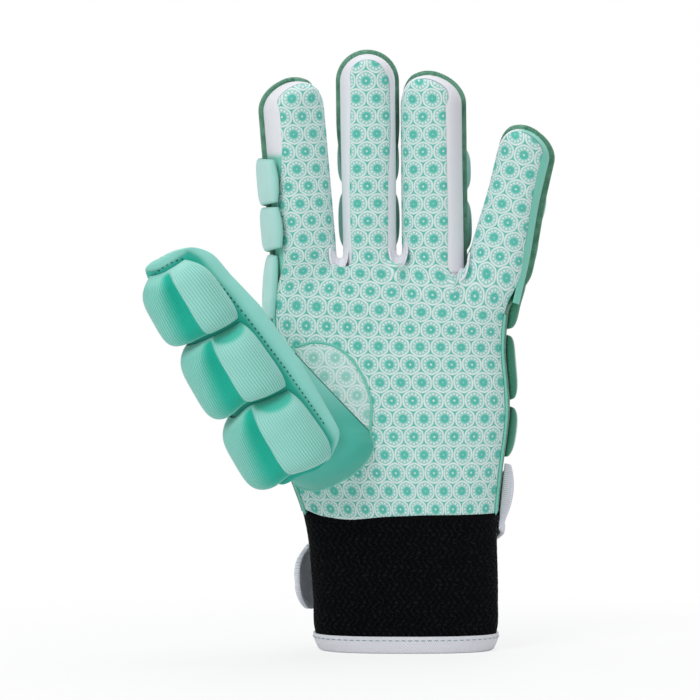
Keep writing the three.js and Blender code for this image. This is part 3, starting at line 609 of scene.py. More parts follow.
def grid_faces(rows, columns, wrap=False):
    """Corners of the quads of a grid, whose columns may close on themselves."""
    across = columns if wrap else columns - 1
    i, j = np.meshgrid(np.arange(rows - 1), np.arange(across), indexing="ij")
    here = i * columns + j
    beside = i * columns + (j + 1) % columns
    return np.stack([here, beside, beside + columns, here + columns], -1).reshape(-1, 4)


def turned_out(points, faces, core):
    """The same faces, turned over if most of them look towards the core, one point or one for each face."""
    a, b, c, d = (points[faces[:, k]] for k in range(4))
    outward = (np.cross(c - a, d - b) * ((a + b + c + d) / 4 - core)).sum()
    return faces if outward > 0 else faces[:, ::-1]


def cloth(name, points, finish, core, uv=None, values=None, wall=None, wrap=False, weld=0.02, lining=None):
    """A sheet through a grid of points, facing away from its core, with a wall added inwards."""
    rows, columns = points.shape[:2]
    flat = points.reshape(-1, 3)
    faces = turned_out(flat, grid_faces(rows, columns, wrap), np.asarray(core, float))
    uv = None if uv is None else uv.reshape(-1, 2)
    values = {key: value.reshape(-1) for key, value in (values or {}).items()}
    piece = new_mesh(name, flat, faces, finish, uv, values, weld)
    if wall:
        if lining:
            piece.data.materials.append(lining)
        solid = piece.modifiers.new("wall", "SOLIDIFY")
        solid.thickness = wall * MM
        solid.offset = -1
        solid.use_even_offset = False
        solid.material_offset = 1 if lining else 0
    return piece


def tube(name, path, radius, finish, sides=8):
    """A round cord along a path, with a ring square to the path at each point and ends drawn to a point."""
    path = np.asarray(path, float)
    tangent = unit(np.gradient(path, axis=0))
    side = unit(np.cross(tangent, np.array([0.12, 1.0, 0.07])))
    other = np.cross(tangent, side)
    turn = np.linspace(0, 2 * math.pi, sides, endpoint=False)
    size = np.full(len(path), radius)
    size[0] = size[-1] = radius * 0.05
    ring = side[:, None] * np.cos(turn)[None, :, None] + other[:, None] * np.sin(turn)[None, :, None]
    points = path[:, None] + ring * size[:, None, None]
    length = run_of(points[:, 0])
    uv = np.stack(np.broadcast_arrays(length[:, None], (turn * radius)[None, :]), -1)
    faces = grid_faces(len(points), sides, True)
    flat = points.reshape(-1, 3)
    core = np.repeat((path[1:] + path[:-1]) / 2, sides, 0)
    return new_mesh(name, flat, turned_out(flat, faces, core), finish, uv.reshape(-1, 2), None, 0.01)


def resampled(path, step, values=None):
    """Points a fixed step apart along a path, or what the values that are given along it are there."""
    path = np.asarray(path, float)
    run = run_of(path)
    at = np.arange(step / 2, run[-1], step)
    given = path if values is None else values
    return np.stack([np.interp(at, run, given[:, k]) for k in range(3)], -1)


def stitches(name, path, out, pitch, length, radius, finish):
    """A row of stitches: small spindles along a path, each a ring of six points at two places and two
    ends."""
    middle = resampled(path, pitch)
    normal = unit(resampled(path, pitch, out))
    tangent = unit(np.gradient(middle, axis=0))
    side = unit(np.cross(tangent, normal))
    normal = np.cross(side, tangent)
    rings = np.array([-0.5, -0.3, 0.3, 0.5])
    sizes = np.array([0.15, 1, 1, 0.15])
    turn = np.linspace(0, 2 * math.pi, 6, endpoint=False)
    across = np.cos(turn)[:, None] * side[:, None, None] + np.sin(turn)[:, None] * normal[:, None, None]
    body = across * (sizes * radius)[None, :, None, None]
    body = body + tangent[:, None, None] * (rings * length)[None, :, None, None]
    points = middle[:, None, None] + body
    count = len(middle)
    caps = [[3, 2, 1, 0], [5, 4, 3, 0], [18, 19, 20, 21], [18, 21, 22, 23]]
    one = np.concatenate([grid_faces(4, 6, True), caps])
    faces = (one[None] + (np.arange(count) * 24)[:, None, None]).reshape(-1, 4)
    flat = points.reshape(-1, 3)
    return new_mesh(name, flat, turned_out(flat, faces, np.repeat(middle, len(one), 0)), finish)


def flat_across(points, start):
    """Distance along each row of a grid from its middle column, which gets the given value."""
    steps = np.linalg.norm(np.diff(points, axis=1), axis=-1)
    run = np.concatenate([np.zeros((len(points), 1)), np.cumsum(steps, axis=1)], axis=1)
    return run - run[:, [points.shape[1] // 2]] + start


# Finishes


def emptied_tree(owner):
    """The node tree of a material or a world, with no nodes yet."""
    owner.use_nodes = True
    owner.node_tree.nodes.clear()
    return owner.node_tree


def add_node(tree, kind, inputs=(), **settings):
    """A node with its settings and its inputs, each a value or another node's output."""
    made = tree.nodes.new(kind)
    for key, value in settings.items():
        setattr(made, key, value)
    for key, value in dict(inputs).items():
        if isinstance(value, bpy.types.NodeSocket):
            tree.links.new(value, made.inputs[key])
        else:
            made.inputs[key].default_value = value
    return made


class Finish:
    """A material and short ways to add nodes to it."""

    def __init__(self, name, roughness=0.85, sheen=0.0, specular=0.3):
        self.material = bpy.data.materials.new(name)
        self.tree = emptied_tree(self.material)
        inputs = {"Roughness": roughness, "Sheen Weight": sheen, "Specular IOR Level": specular}
        self.shader = self.node("ShaderNodeBsdfPrincipled", {**inputs, "Sheen Roughness": 0.5})
        self.node("ShaderNodeOutputMaterial", {0: self.shader.outputs[0]})

    def node(self, kind, inputs=(), **settings):
        return add_node(self.tree, kind, inputs, **settings)

    def maths(self, operation, a, b=0.0, c=0.0):
        return self.node("ShaderNodeMath", {0: a, 1: b, 2: c}, operation=operation).outputs[0]

    def vectors(self, operation, a, b=(0, 0, 0), c=(0, 0, 0), value=False):
        made = self.node("ShaderNodeVectorMath", {0: a, 1: b, 2: c}, operation=operation)
        return made.outputs["Value"] if value else made.outputs[0]

    def times(self, a, b):
        return self.maths("MULTIPLY", a, b)

    def wave(self, distance, period, kind="SINE"):
        """A wave along a distance in millimetres."""
        return self.maths(kind, self.times(distance, 2 * math.pi / period))

    def step(self, value, low, high):
        """0 below low and 1 above high."""
        inputs = {"Value": value, "From Min": low, "From Max": high}
        return self.node("ShaderNodeMapRange", inputs, interpolation_type="SMOOTHSTEP").outputs[0]

    def mix(self, share, a, b):
        made = self.node("ShaderNodeMix", {0: share, 6: a, 7: b}, data_type="RGBA")
        return made.outputs[2]

    def mix_value(self, share, a, b):
        """a at share 0 and b at share 1."""
        return self.node("ShaderNodeMapRange", {"Value": share, "To Min": a, "To Max": b}).outputs[0]

    def cloth_uv(self):
        return self.node("ShaderNodeUVMap", uv_map="cloth").outputs[0]

    def parts(self, vector):
        return self.node("ShaderNodeSeparateXYZ", {0: vector}).outputs

    def noise(self, vector, scale, detail=2.0):
        inputs = {"Vector": vector, "Scale": scale, "Detail": detail}
        return self.node("ShaderNodeTexNoise", inputs).outputs[0]

    def value(self, name):
        return self.node("ShaderNodeAttribute", attribute_name=name).outputs["Fac"]

    def feed(self, name, socket):
        self.tree.links.new(socket, self.shader.inputs[name])

    def bump(self, height, distance, strength=1.0):
        inputs = {"Height": height, "Distance": distance * MM, "Strength": strength}
        self.feed("Normal", self.node("ShaderNodeBump", inputs).outputs[0])

    def colour(self, socket):
        self.feed("Base Color", socket)


def tint(code):
    """A linear colour from its usual hex code."""
    srgb = [int(code[k : k + 2], 16) / 255 for k in (0, 2, 4)]
    return (*[c / 12.92 if c <= 0.04045 else ((c + 0.055) / 1.055) ** 2.4 for c in srgb], 1.0)


PRINT_PITCH = 8.3  # between neighbouring motifs, millimetres
PRINT_DASHES = 12  # round each broken ring
WALE_PITCH = 0.62  # of the stretch cloth's loops
COURSE_PITCH = 0.75
RIB_PITCH = 0.8  # of the foam cover
CUFF_RIB_PITCH = 2.6
CUFF_RIB_TURN = 3.4  # height over which the cuff's ribs slant one way
CUFF_RIB_SLANT_SHARE = 0.75


def print_finish(name, pale_share=0.0):
    """Stretch mint cloth under a white silicone print: a staggered field of hexagons, each an outline round a
    broken one and a teal middle with a white dot, with teal three-cornered gaps where three of them meet."""
    made = Finish(name, roughness=0.72, sheen=0.15)
    uv = made.cloth_uv()
    cell = (PRINT_PITCH, PRINT_PITCH * math.sqrt(3), 1.0)
    half = tuple(c / 2 for c in cell)
    less = tuple(-c / 2 for c in cell)
    one = made.vectors("WRAP", uv, half, less)
    two = made.vectors("WRAP", made.vectors("ADD", uv, half), half, less)
    far_one, far_two = (made.vectors("LENGTH", vector, value=True) for vector in (one, two))
    nearer = made.maths("LESS_THAN", far_one, far_two)
    pick = made.node("ShaderNodeMix", {0: nearer, 4: two, 5: one}, data_type="VECTOR").outputs[1]
    x, y, _ = made.parts(pick)
    ax, ay = made.maths("ABSOLUTE", x), made.maths("ABSOLUTE", y)
    slant = made.maths("ADD", made.times(ax, 0.5), made.times(ay, math.sqrt(0.75)))
    hexagon = made.maths("MAXIMUM", ax, slant)
    circle = made.vectors("LENGTH", pick, value=True)
    reach = made.maths("ADD", made.times(hexagon, 0.35), made.times(circle, 0.65))
    reach = made.maths("DIVIDE", reach, PRINT_PITCH / 2)
    turn = made.maths("ARCTAN2", y, x)

    def ring(at, half_width):
        off = made.maths("ABSOLUTE", made.maths("SUBTRACT", reach, at))
        return made.step(off, half_width, half_width * 0.45)

    dashes = made.step(made.maths("COSINE", made.times(turn, PRINT_DASHES)), -0.6, -0.1)
    white = ring(0.9, 0.11)
    white = made.maths("MAXIMUM", white, made.times(ring(0.62, 0.13), dashes))
    white = made.maths("MAXIMUM", white, made.step(reach, 0.13, 0.07))
    accent = made.maths("MAXIMUM", made.step(reach, 1.0, 1.03), made.step(reach, 0.42, 0.39))
    weave = made.noise(made.vectors("MULTIPLY", uv, (3.2, 1.6, 1)), 1.0, 1.0)
    ground = made.mix(made.step(weave, 0.3, 0.7), tint("8FCFC5"), tint("A6DBD3"))
    teal = made.mix(made.step(weave, 0.3, 0.7), tint("4DBAA9"), tint("66C6B7"))
    colour = made.mix(accent, ground, teal)
    worn = made.step(made.noise(uv, 0.35), 0.2, 0.8)
    silicone = made.mix(worn, tint("DDECEA"), tint("EEF6F5"))
    colour = made.mix(made.times(white, 0.92), colour, silicone)
    # The whole print mixed towards pale mint by the given share.
    made.colour(made.mix(pale_share, colour, tint("DDEFEB")))
    made.feed("Roughness", made.mix_value(white, 0.8, 0.5))
    rib = made.wave(made.parts(uv)[0], 0.7)
    made.bump(made.maths("MULTIPLY_ADD", rib, 0.12, white), 0.16, 0.7)
    return made.material


def fine_loops(made):
    """Two-way stretch knit: a wave across the wales times one along the courses, raised."""
    u, v, _ = made.parts(made.cloth_uv())
    loops = made.times(made.wave(u, WALE_PITCH), made.wave(v, COURSE_PITCH))
    loops = made.maths("MULTIPLY_ADD", loops, 0.5, 0.5)
    made.bump(loops, 0.05, 0.6)
    return loops


def stretch_finish(name, light, dark):
    """Stretch knit in two near shades, a little cloudy."""
    made = Finish(name, roughness=0.8, sheen=0.25)
    loops = fine_loops(made)
    broad = made.noise(made.cloth_uv(), 0.12)
    shade = made.maths("MULTIPLY_ADD", loops, 0.35, made.times(broad, 0.6))
    made.colour(made.mix(made.step(shade, 0.1, 0.8), tint(dark), tint(light)))
    return made.material


def edge_stretch_finish():
    """White stretch whose mint share is given by an attribute, as on the side panels of the fingers."""
    made = Finish("side_stretch", roughness=0.8, sheen=0.25)
    loops = fine_loops(made)
    white = made.mix(loops, tint("E2E3EB"), tint("F3F3F7"))
    mint = made.mix(loops, tint("74D0BA"), tint("86DAC6"))
    made.colour(made.mix(made.value("mint"), white, mint))
    return made.material


def heather_finish():
    """Melange knit: vees of dark and light green yarn, mottled along the courses."""
    made = Finish("heather_knit", roughness=0.9, sheen=0.3)
    uv = made.cloth_uv()
    u, v, _ = made.parts(uv)
    vee = made.wave(made.maths("ADD", v, made.maths("PINGPONG", u, 0.45)), 0.8)
    fleck = made.noise(made.vectors("MULTIPLY", uv, (2.2, 4.5, 1)), 1.0, 3.0)
    cloud = made.noise(uv, 0.25, 2.0)
    shade = made.maths("MULTIPLY_ADD", made.maths("SUBTRACT", fleck, 0.5), 1.6, 0.45)
    shade = made.maths("MULTIPLY_ADD", made.maths("SUBTRACT", cloud, 0.5), 0.7, shade)
    shade = made.maths("MULTIPLY_ADD", vee, 0.1, shade)
    made.colour(made.mix(made.step(shade, 0.05, 0.95), tint("2B6B50"), tint("86BFA4")))
    made.bump(vee, 0.12, 0.7)
    return made.material


def rib_finish(name, low, high, trough):
    """Ribbed cover: pale ribs over a teal ground. u is the distance across the ribs; the attribute teal bares
    the ground, which on the guard's blocks is partly painted shade, and knit turns it to the back's knit,
    which on the hand's pads is partly painted shade on their shaded side."""
    made = Finish(name, roughness=0.8, sheen=0.3)
    uv = made.cloth_uv()
    wave = made.wave(made.parts(uv)[0], RIB_PITCH, "COSINE")
    contrast = made.value("ribs")
    furrow = made.times(made.step(wave, 0.4, -0.9), contrast)
    pale = made.mix(made.noise(uv, 0.09, 1.0), tint(low), tint(high))
    covered = made.mix(made.times(furrow, 0.75), pale, tint(trough))
    bare = made.mix(made.times(furrow, 0.6), tint("12BDA4"), tint("0CA28C"))
    cover = made.mix(made.value("teal"), covered, bare)
    fleck = made.noise(made.vectors("MULTIPLY", uv, (2.2, 4.5, 1)), 1.0, 3.0)
    knit = made.mix(made.step(fleck, 0.3, 0.7), tint("1F6E55"), tint("4C9B7E"))
    made.colour(made.mix(made.value("knit"), cover, knit))
    made.bump(made.times(wave, contrast), 0.05, 0.8)
    return made.material


def plate_finish(name, light, middle, dark):
    """Smooth mint stretch, which turns to a darker tint by an attribute: painted shade beside the guard's
    blocks and on the gusset.
    """
    made = Finish(name, roughness=0.82, sheen=0.3)
    grain = made.noise(made.vectors("MULTIPLY", made.cloth_uv(), (3, 3, 1)), 1.0, 2.0)
    pale = made.mix(grain, tint(middle), tint(light))
    made.colour(made.mix(made.value("teal"), pale, tint(dark)))
    made.bump(grain, 0.04, 0.5)
    return made.material


def cuff_finish():
    """Black elastic: knobbly slanting ribs whose slant turns back and forth up the cuff."""
    made = Finish("black_elastic", roughness=0.8, sheen=0.0, specular=0.08)
    uv = made.cloth_uv()
    u, v, _ = made.parts(uv)
    zig = made.maths("PINGPONG", v, CUFF_RIB_TURN)
    slant = made.maths("MULTIPLY_ADD", zig, CUFF_RIB_SLANT_SHARE, u)
    rib = made.wave(made.maths("ADD", slant, made.times(made.noise(uv, 0.5, 2.0), 4.2)), CUFF_RIB_PITCH)
    knobs = made.times(rib, made.wave(v, 1.8))
    height = made.maths("MULTIPLY_ADD", knobs, 0.35, made.times(rib, 0.5))
    shown = made.times(made.value("ribs"), height)
    # Darker in the ribs' troughs and lighter bluish grey on their crests: painted shade and painted
    # highlight.
    made.colour(made.mix(made.step(shown, -0.1, 0.9), tint("030406"), tint("171B22")))
    made.bump(shown, 1.1, 1.0)
    return made.material


def webbing_finish(name, light, dark):
    """Fine twill."""
    made = Finish(name, roughness=0.7, sheen=0.1)
    u, v, _ = made.parts(made.cloth_uv())
    twill = made.wave(made.maths("MULTIPLY_ADD", v, 0.6, u), 0.8)
    height = made.maths("MULTIPLY_ADD", made.wave(v, 0.55), 0.4, twill)
    made.colour(made.mix(made.step(height, -1.2, 1.2), tint(dark), tint(light)))
    made.bump(height, 0.06, 0.6)
    return made.material


def loop_finish():
    """Loop pile: a felt of small curls."""
    made = Finish("loop_pile", roughness=0.95, sheen=0.4)
    curls = made.noise(made.cloth_uv(), 3.0, 4.0)
    made.colour(made.mix(made.step(curls, 0.3, 0.7), tint("C9CDD2"), tint("F1F2F4")))
    made.bump(curls, 0.4, 1.0)
    return made.material


def thread_finish(name, code, roughness=0.6):
    """Twisted thread: two plies that wind round it."""
    made = Finish(name, roughness=roughness, sheen=0.1)
    coordinates = made.node("ShaderNodeTexCoord").outputs["Object"]
    ply = made.noise(coordinates, 1400.0, 1.0)
    base = tint(code)
    dark = tuple(c * 0.7 for c in base[:3]) + (1.0,)
    made.colour(made.mix(ply, dark, base))
    return made.material


PRINT = print_finish("printed_palm")
# The web's print, mixed a third of the way towards pale mint.
WEB_PRINT = print_finish("printed_web", 0.33)
SIDE = edge_stretch_finish()
WEB_WHITE = stretch_finish("web_stretch", "F1F1F6", "DADAE4")
LINING = stretch_finish("pale_lining", "E6ECEB", "CBD6D3")
HEATHER = heather_finish()
RIBBED = rib_finish("ribbed_cover", "96D8CC", "A6E1D7", "56B8A6")
PAD_COVER = rib_finish("pad_cover", "B7E3DD", "C5EBE6", "84CFC2")
PLATE = plate_finish("plate_cover", "9ADFD3", "8CD7CA", "26B39E")
GUSSET = plate_finish("gusset_stretch", "86D6C9", "72CBBC", "24B09B")
ELASTIC = cuff_finish()
BINDING = webbing_finish("white_binding", "F2F2F6", "DCDCE6")
WEBBING = webbing_finish("white_webbing", "EEF0F5", "D2D7E4")
PILE = loop_finish()
PIPING = thread_finish("mint_piping", "7FDCC8", 0.45)
TEAL_THREAD = thread_finish("teal_thread", "1B7E6D")
# Grey thread, which along the prints' edges also stands for painted shadow in the seam's groove.
GREY_THREAD_AND_SEAM_SHADE = thread_finish("grey_thread_and_seam_shade", "8FA9B4")


# Palm and back, up to the columns that lead to the fingers


def hem_height(angle):
    """Lower edge of the palm: lowest beside the thumb's foot and a little higher at both sides."""
    x = np.cos(angle)
    return CUFF_HEIGHT + 0.4 - 2.2 * np.exp(-(((x + 0.42) / 0.3) ** 2)) + 1.6 * smooth((-0.75 - x) / 0.2)


def palm_angles(count):
    """Angles evenly round the palm's side from seam to seam."""
    return angle_at(np.linspace(girth_of(SEAM_LEFT), girth_of(SEAM_RIGHT), count))


def ripple(points, size=0.12):
    """Slight unevenness of worn cloth: three slow waves in x and z, in the direction of y."""
    x, z = points[..., 0], points[..., 2]
    wave = np.sin(0.21 * x + 0.11 * z) + np.sin(0.13 * x - 0.19 * z + 1.7) + np.sin(0.31 * z + 0.05 * x + 0.6)
    out = points.copy()
    out[..., 1] += size * wave
    return out


def palm_print_start(angle):
    """Distance round the palm from its middle, which the print's columns carry on."""
    return girth_of(angle) - girth_of(-math.pi / 2)


def dress_palm():
    """The printed palm from its hem to the foot of the columns."""
    angle = palm_angles(141)[None, :]
    rise = np.linspace(0, 1, 106)[:, None]
    place = lerp(hem_height(angle), COLUMN_FOOT, rise)
    edge = np.minimum(girth_of(angle) - girth_of(SEAM_LEFT), girth_of(SEAM_RIGHT) - girth_of(angle))
    drop = np.maximum(drop_at_edge(edge, EDGE_ROLL), drop_at_edge(place - hem_height(angle), EDGE_ROLL))
    section = hand_section(place * np.ones_like(angle))
    points = outline_point(section, angle * np.ones_like(place))
    points = points - outline_normal(section, angle * np.ones_like(place)) * drop[..., None]
    across = palm_print_start(angle) * np.ones_like(place)
    uv = np.stack([across, place * np.ones_like(angle)], -1)
    piece = cloth("palm_print", ripple(points), PRINT, (0, 0, 100), uv, wall=PRINT_WALL, lining=LINING)
    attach(piece, "hand")
    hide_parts("palm_panel")


def gap_beside(name, side):
    """The gap on one side of a finger, if there is one."""
    for gap in GAPS:
        if side > 0 and gap.left == name:
            return gap, gap.open_left
        if side < 0 and gap.right == name:
            return gap, gap.open_right
    return None, None


def column_rows(name, count):
    """Places along the finger and heights on the hand of a column's rows, from its foot to halfway to the
    middle joint, at which both run up together."""
    finger = FINGERS[name]
    foot = COLUMN_FOOT - finger.base[2]
    for _ in range(3):
        spine_x = finger.base[0] + finger.along[0] * foot
        centre = hand_section(np.array(COLUMN_FOOT)).centre[0]
        level = COLUMN_FOOT - math.tan(float(hand_slope(COLUMN_FOOT))) * (spine_x - centre)
        foot = (level - finger.base[2]) / finger.along[2]
    place = np.linspace(foot, finger.bend / 2, count)
    return place, COLUMN_FOOT + (place - foot) * finger.along[2]


def column_blend(name, front, share, place, height):
    """How much of the finger there is in a column, from 0 on the hand: it grows over the middle up to the
    knuckle plane, and beside a slot it starts at the slot's foot and opens in a quarter circle."""
    middle = smooth((place - place[0]) / (0.5 - place[0]))
    total = np.zeros((len(place), len(share)))
    for side in (-1, 1):
        gap, opening = gap_beside(name, side)
        own = middle
        if gap:
            section = hand_section(height)
            z = height - np.tan(hand_slope(height)) * (gap.x - section.centre[:, 0])
            foot = gap.foot if front else gap.foot - 1.5
            rise = opening if front else 2 * opening
            t = np.clip((z - foot) / rise, 0, 1)
            own = np.sqrt(1 - (1 - t) ** 2)
        mine = on_side(share, side)
        blend = lerp(middle[:, None], own[:, None], np.abs(share)[None, :] ** 6)
        total = np.where(mine[None, :], blend, total)
    return total


def hand_part_of_column(name, front, share, height):
    """The column's grid on the hand: girths evenly from its spine to the line of each gap or to the side
    seam."""
    finger = FINGERS[name]
    spine_x = finger.base[0] + finger.along[0] * (height - finger.base[2]) / finger.along[2]
    spine = girth_of(hand_angle(spine_x, height, front))
    girth = np.zeros((len(height), len(share)))
    for side in (-1, 1):
        gap, _ = gap_beside(name, side)
        if gap:
            edge = girth_of(hand_angle(gap.x, height, front))
        elif front:
            edge = girth_of(SEAM_LEFT if side < 0 else SEAM_RIGHT) + 0 * height
        else:
            edge = girth_of(math.pi - SEAM_RIGHT if side < 0 else SEAM_RIGHT) + 0 * height
        mine = on_side(share, side)
        rows = lerp(spine[:, None], edge[:, None], np.abs(share)[None, :])
        girth = np.where(mine[None, :], rows, girth)
    return girth


def face_steps(finger, share, side, level, grow):
    """Shares across one side of a face, moved to even steps of arc as they are halfway to the bend."""
    middle = np.array(finger.bend / 2)
    width, depth = finger_size(finger, middle, grow)
    ratio = rim_x(finger, middle, level(finger, side, middle), grow) / width
    steps = even_shares(float(ratio), float(width), float(depth), FINGER_SQUARENESS, 200)
    return np.interp(np.abs(share), np.linspace(0, 1, 200), steps)


def finger_face(finger, share, place, level, sign, grow=0.0):
    """Local x and depth of a face on straight rows: x in even steps of arc out to where the outline has the
    level."""
    x = np.zeros((len(place), len(share)))
    for side in (-1, 1):
        edge = rim_x(finger, place, level(finger, side, place), grow)
        k = face_steps(finger, share, side, level, grow)
        mine = on_side(share, side)
        x = np.where(mine[None, :], side * edge[:, None] * k[None, :], x)
    return x, sign * face_depth(finger, x, place[:, None], grow)


def rolled(finger, x, place, y, distance, roll=EDGE_ROLL):
    """The face with its last millimetre drawn in towards the finger's core line."""
    core = np.minimum(place, dome_foot(finger))
    drop = drop_at_edge(distance, roll)
    out = np.stack(np.broadcast_arrays(x, place - core, y), -1)
    size = np.maximum(np.linalg.norm(out, axis=-1), 1e-6)
    out = out * (1 - drop / size)[..., None]
    return out[..., 0], out[..., 1] + core, out[..., 2]


COLUMN_COLUMNS = np.linspace(-1, 1, 41)


def knuckle_blend(piece):
    """Bakes the piece's placement into its mesh."""
    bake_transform(piece)


def middle_blend(piece):
    """Bakes the piece's placement into its mesh."""
    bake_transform(piece)


def print_across(finger, start, x):
    """Distance across the print at a finger's x: its middle line's, and on along the section halfway to the
    bend."""
    width, _ = finger_size(finger, np.array(finger.bend / 2))
    k = np.linspace(0, 1, 400) * float(width)
    arc = run_of(np.stack([k, face_depth(finger, k, np.full(400, finger.bend / 2))], -1))
    return start + np.sign(x) * np.interp(np.abs(x), k, arc)


def dress_print_column(name):
    """The palm's column up to a finger, whose edges turn round the foot of each slot."""
    finger = FINGERS[name]
    share = COLUMN_COLUMNS
    place, height = column_rows(name, 44)
    blend = column_blend(name, True, share, place, height)
    girth = hand_part_of_column(name, True, share, height)
    on_hand = ripple(hand_point(angle_at(girth), height[:, None]))
    x, y = finger_face(finger, share, place, print_level, -1)
    width = np.abs(x).max(axis=1, keepdims=True)
    near = (1 - np.abs(share))[None, :] * width
    start = palm_print_start(angle_at(girth[0, len(share) // 2]))
    across = lerp(palm_print_start(angle_at(girth)), print_across(finger, start, x), blend)
    up = lerp(height[:, None], finger.base[2] + place[:, None], blend)
    uv = np.stack([across, up], -1)
    x, at, y = rolled(finger, x, place[:, None] + 0 * x, y, near + 0 * x)
    on_finger = finger_point(finger, x, at, y)
    points = lerp(on_hand, on_finger, blend[..., None])
    piece = cloth(f"{name}_base_print", points, PRINT, finger.base, uv, wall=PRINT_WALL, lining=LINING)
    knuckle_blend(piece)
    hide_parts(f"{name}_base_front")
    return start


def tip_face(finger, climb, share, level, sign, grow=0.0):
    """Local grid of a face with its round tip: each row runs from the outline to the spine, and over the
    tip it runs to the middle of the dome."""
    foot = finger.bend / 2
    x = np.zeros((len(climb), len(share)))
    place = np.zeros_like(x)
    near = np.zeros_like(x)
    start = dome_foot(finger)
    for side in (-1, 1):
        y = level(finger, side, lerp(foot, start, np.clip(climb / STRAIGHT_SHARE, 0, 1)))
        edge, at = domed_rim(finger, climb, y, grow, foot)
        y = level(finger, side, at)
        edge, at = domed_rim(finger, climb, y, grow, foot)
        k = face_steps(finger, share, side, level, grow)[None, :]
        mine = on_side(share, side)[None, :]
        dome = np.minimum(at, start)
        x = np.where(mine, side * edge[:, None] * k, x)
        place = np.where(mine, dome[:, None] + (at - dome)[:, None] * k, place)
        reach = np.hypot(edge, at - dome)
        near = np.where(mine, reach[:, None] * (1 - np.abs(share))[None, :], near)
    return x, place, sign * face_depth(finger, x, place, grow), near


CLIMB = np.concatenate(
    [np.linspace(0, STRAIGHT_SHARE, 50), STRAIGHT_SHARE + 0.38 * np.linspace(0, 1, 34)[1:]]
)
CLIMB[-1] = 1.0
WALL_ACROSS = np.linspace(0, 1, 19)
WALL_TUCK = 0.5  # of a side wall under the print, millimetres
WALL_ROLL = 0.55
WALL_INSET = 0.1
WALL_SLOT_FOOT = -7.5  # behind a web
WALL_SIDE_FOOT = -14.0  # at the side of the hand
SEAM_INSET = 0.35
SEAM_RISE = 0.1
SEAM_RADIUS = 0.22


def wall_depths(front, back):
    """Depths across a side wall, from under the print to under the padded back."""
    return lerp(front[:, None] - WALL_TUCK, back[:, None] + LAP, WALL_ACROSS[None, :])


def wall_drop(y, front):
    """How far a side wall is drawn in: a roll where it goes under the print."""
    return drop_at_edge(np.maximum(y - front[:, None], 0), WALL_ROLL) + WALL_INSET


def dress_print_tip(name, start):
    """The printed front of a finger, from above its knuckle to its round tip."""
    finger = FINGERS[name]
    x, place, y, near = tip_face(finger, CLIMB, COLUMN_COLUMNS, print_level, -1)
    uv = np.stack([print_across(finger, start, x), finger.base[2] + place], -1)
    x, place, y = rolled(finger, x, place, y, near)
    points = finger_point(finger, x, place, y)
    piece = cloth(f"{name}_tip_print", points, PRINT, finger.base, uv, wall=PRINT_WALL, lining=LINING)
    middle_blend(piece)
    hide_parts(f"{name}_tip_front")


def dress_walls_tip(name):
    """The stretch side panel of a finger: up one side, round the tip and down the other, from under the
    print's edge to under the padded back's edge."""
    finger = FINGERS[name]
    foot = finger.bend / 2
    climb = np.concatenate([CLIMB, CLIMB[::-1][1:]])
    side = np.concatenate([-np.ones(len(CLIMB)), np.ones(len(CLIMB) - 1)])
    start = dome_foot(finger)
    rough = lerp(foot, start, np.clip(climb / STRAIGHT_SHARE, 0, 1))
    front = print_level(finger, side, rough)
    for _ in range(2):
        at = domed_rim(finger, climb, front, 0.0, foot)[1]
        front = print_level(finger, side, at)
    back = knit_level(finger, side, at)
    y = wall_depths(front, back)
    x, place = domed_rim(finger, climb[:, None], y, 0.0, foot)
    x = x * side[:, None]
    core = np.minimum(place, start)
    out = np.stack([x, place - core, 0 * y], -1)
    reach = np.linalg.norm(out, axis=-1, keepdims=True) - wall_drop(y, front)[..., None]
    out = unit(out) * np.maximum(reach, 0)
    points = finger_point(finger, out[..., 0], out[..., 1] + core, y)
    run = run_of(points[:, len(WALL_ACROSS) // 2])
    uv = np.stack(np.broadcast_arrays(y, run[:, None]), -1)
    mint = np.zeros_like(y)
    if name == "little":
        mint = smooth((x + 3) / 4)
    if name == "index":
        mint = smooth((40 - place) / 3) * (x < 0)
    base = finger.base + finger.along * start
    piece = cloth(f"{name}_side_wall", points, SIDE, base, uv, {"mint": mint}, STRETCH_WALL)
    middle_blend(piece)
    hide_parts(f"{name}_tip_side_wall")
    # The grey cord along the print's edge is its seam thread and also a painted shadow in the lapped seam's
    # groove.
    seam = finger_point(finger, *seam_line(finger, climb, side, foot))
    cord = tube(f"{name}_print_seam_and_shade", seam, SEAM_RADIUS, GREY_THREAD_AND_SEAM_SHADE, sides=6)
    middle_blend(cord)


def seam_line(finger, climb, side, foot):
    """Local x, place and depth of the print's edge, a little inside the surface."""
    start = dome_foot(finger)
    level = print_level(finger, side, lerp(foot, start, np.clip(climb / STRAIGHT_SHARE, 0, 1)))
    for _ in range(2):
        x, place = domed_rim(finger, climb, level, -SEAM_INSET, foot)
        level = print_level(finger, side, place)
    return x * side, place, level + SEAM_RISE


def dress_walls_base(name):
    """The two stretch side panels at a finger's base, whose feet lie behind the web."""
    finger = FINGERS[name]
    for label, side in (("inner", -1), ("outer", 1)):
        gap, _ = gap_beside(name, side)
        place = np.linspace(WALL_SLOT_FOOT if gap else WALL_SIDE_FOOT, finger.bend / 2, 26)
        front = print_level(finger, side, place)
        back = knit_level(finger, side, place)
        y = wall_depths(front, back)
        x = (rim_x(finger, place[:, None], y) - wall_drop(y, front)) * side
        points = finger_point(finger, x, place[:, None], y)
        uv = np.stack(np.broadcast_arrays(y, place[:, None]), -1)
        mint = np.full(y.shape, 0.0 if gap else 1.0)
        wall = f"{name}_base_{label}_side"
        piece = cloth(wall, points, SIDE, finger.base, uv, {"mint": mint}, STRETCH_WALL)
        knuckle_blend(piece)
        if name in ("middle", "ring"):
            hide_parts(f"{name}_base_{label}_wall")
        elif gap:
            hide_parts(f"{name}_base_side_wall")


# Padded knit back


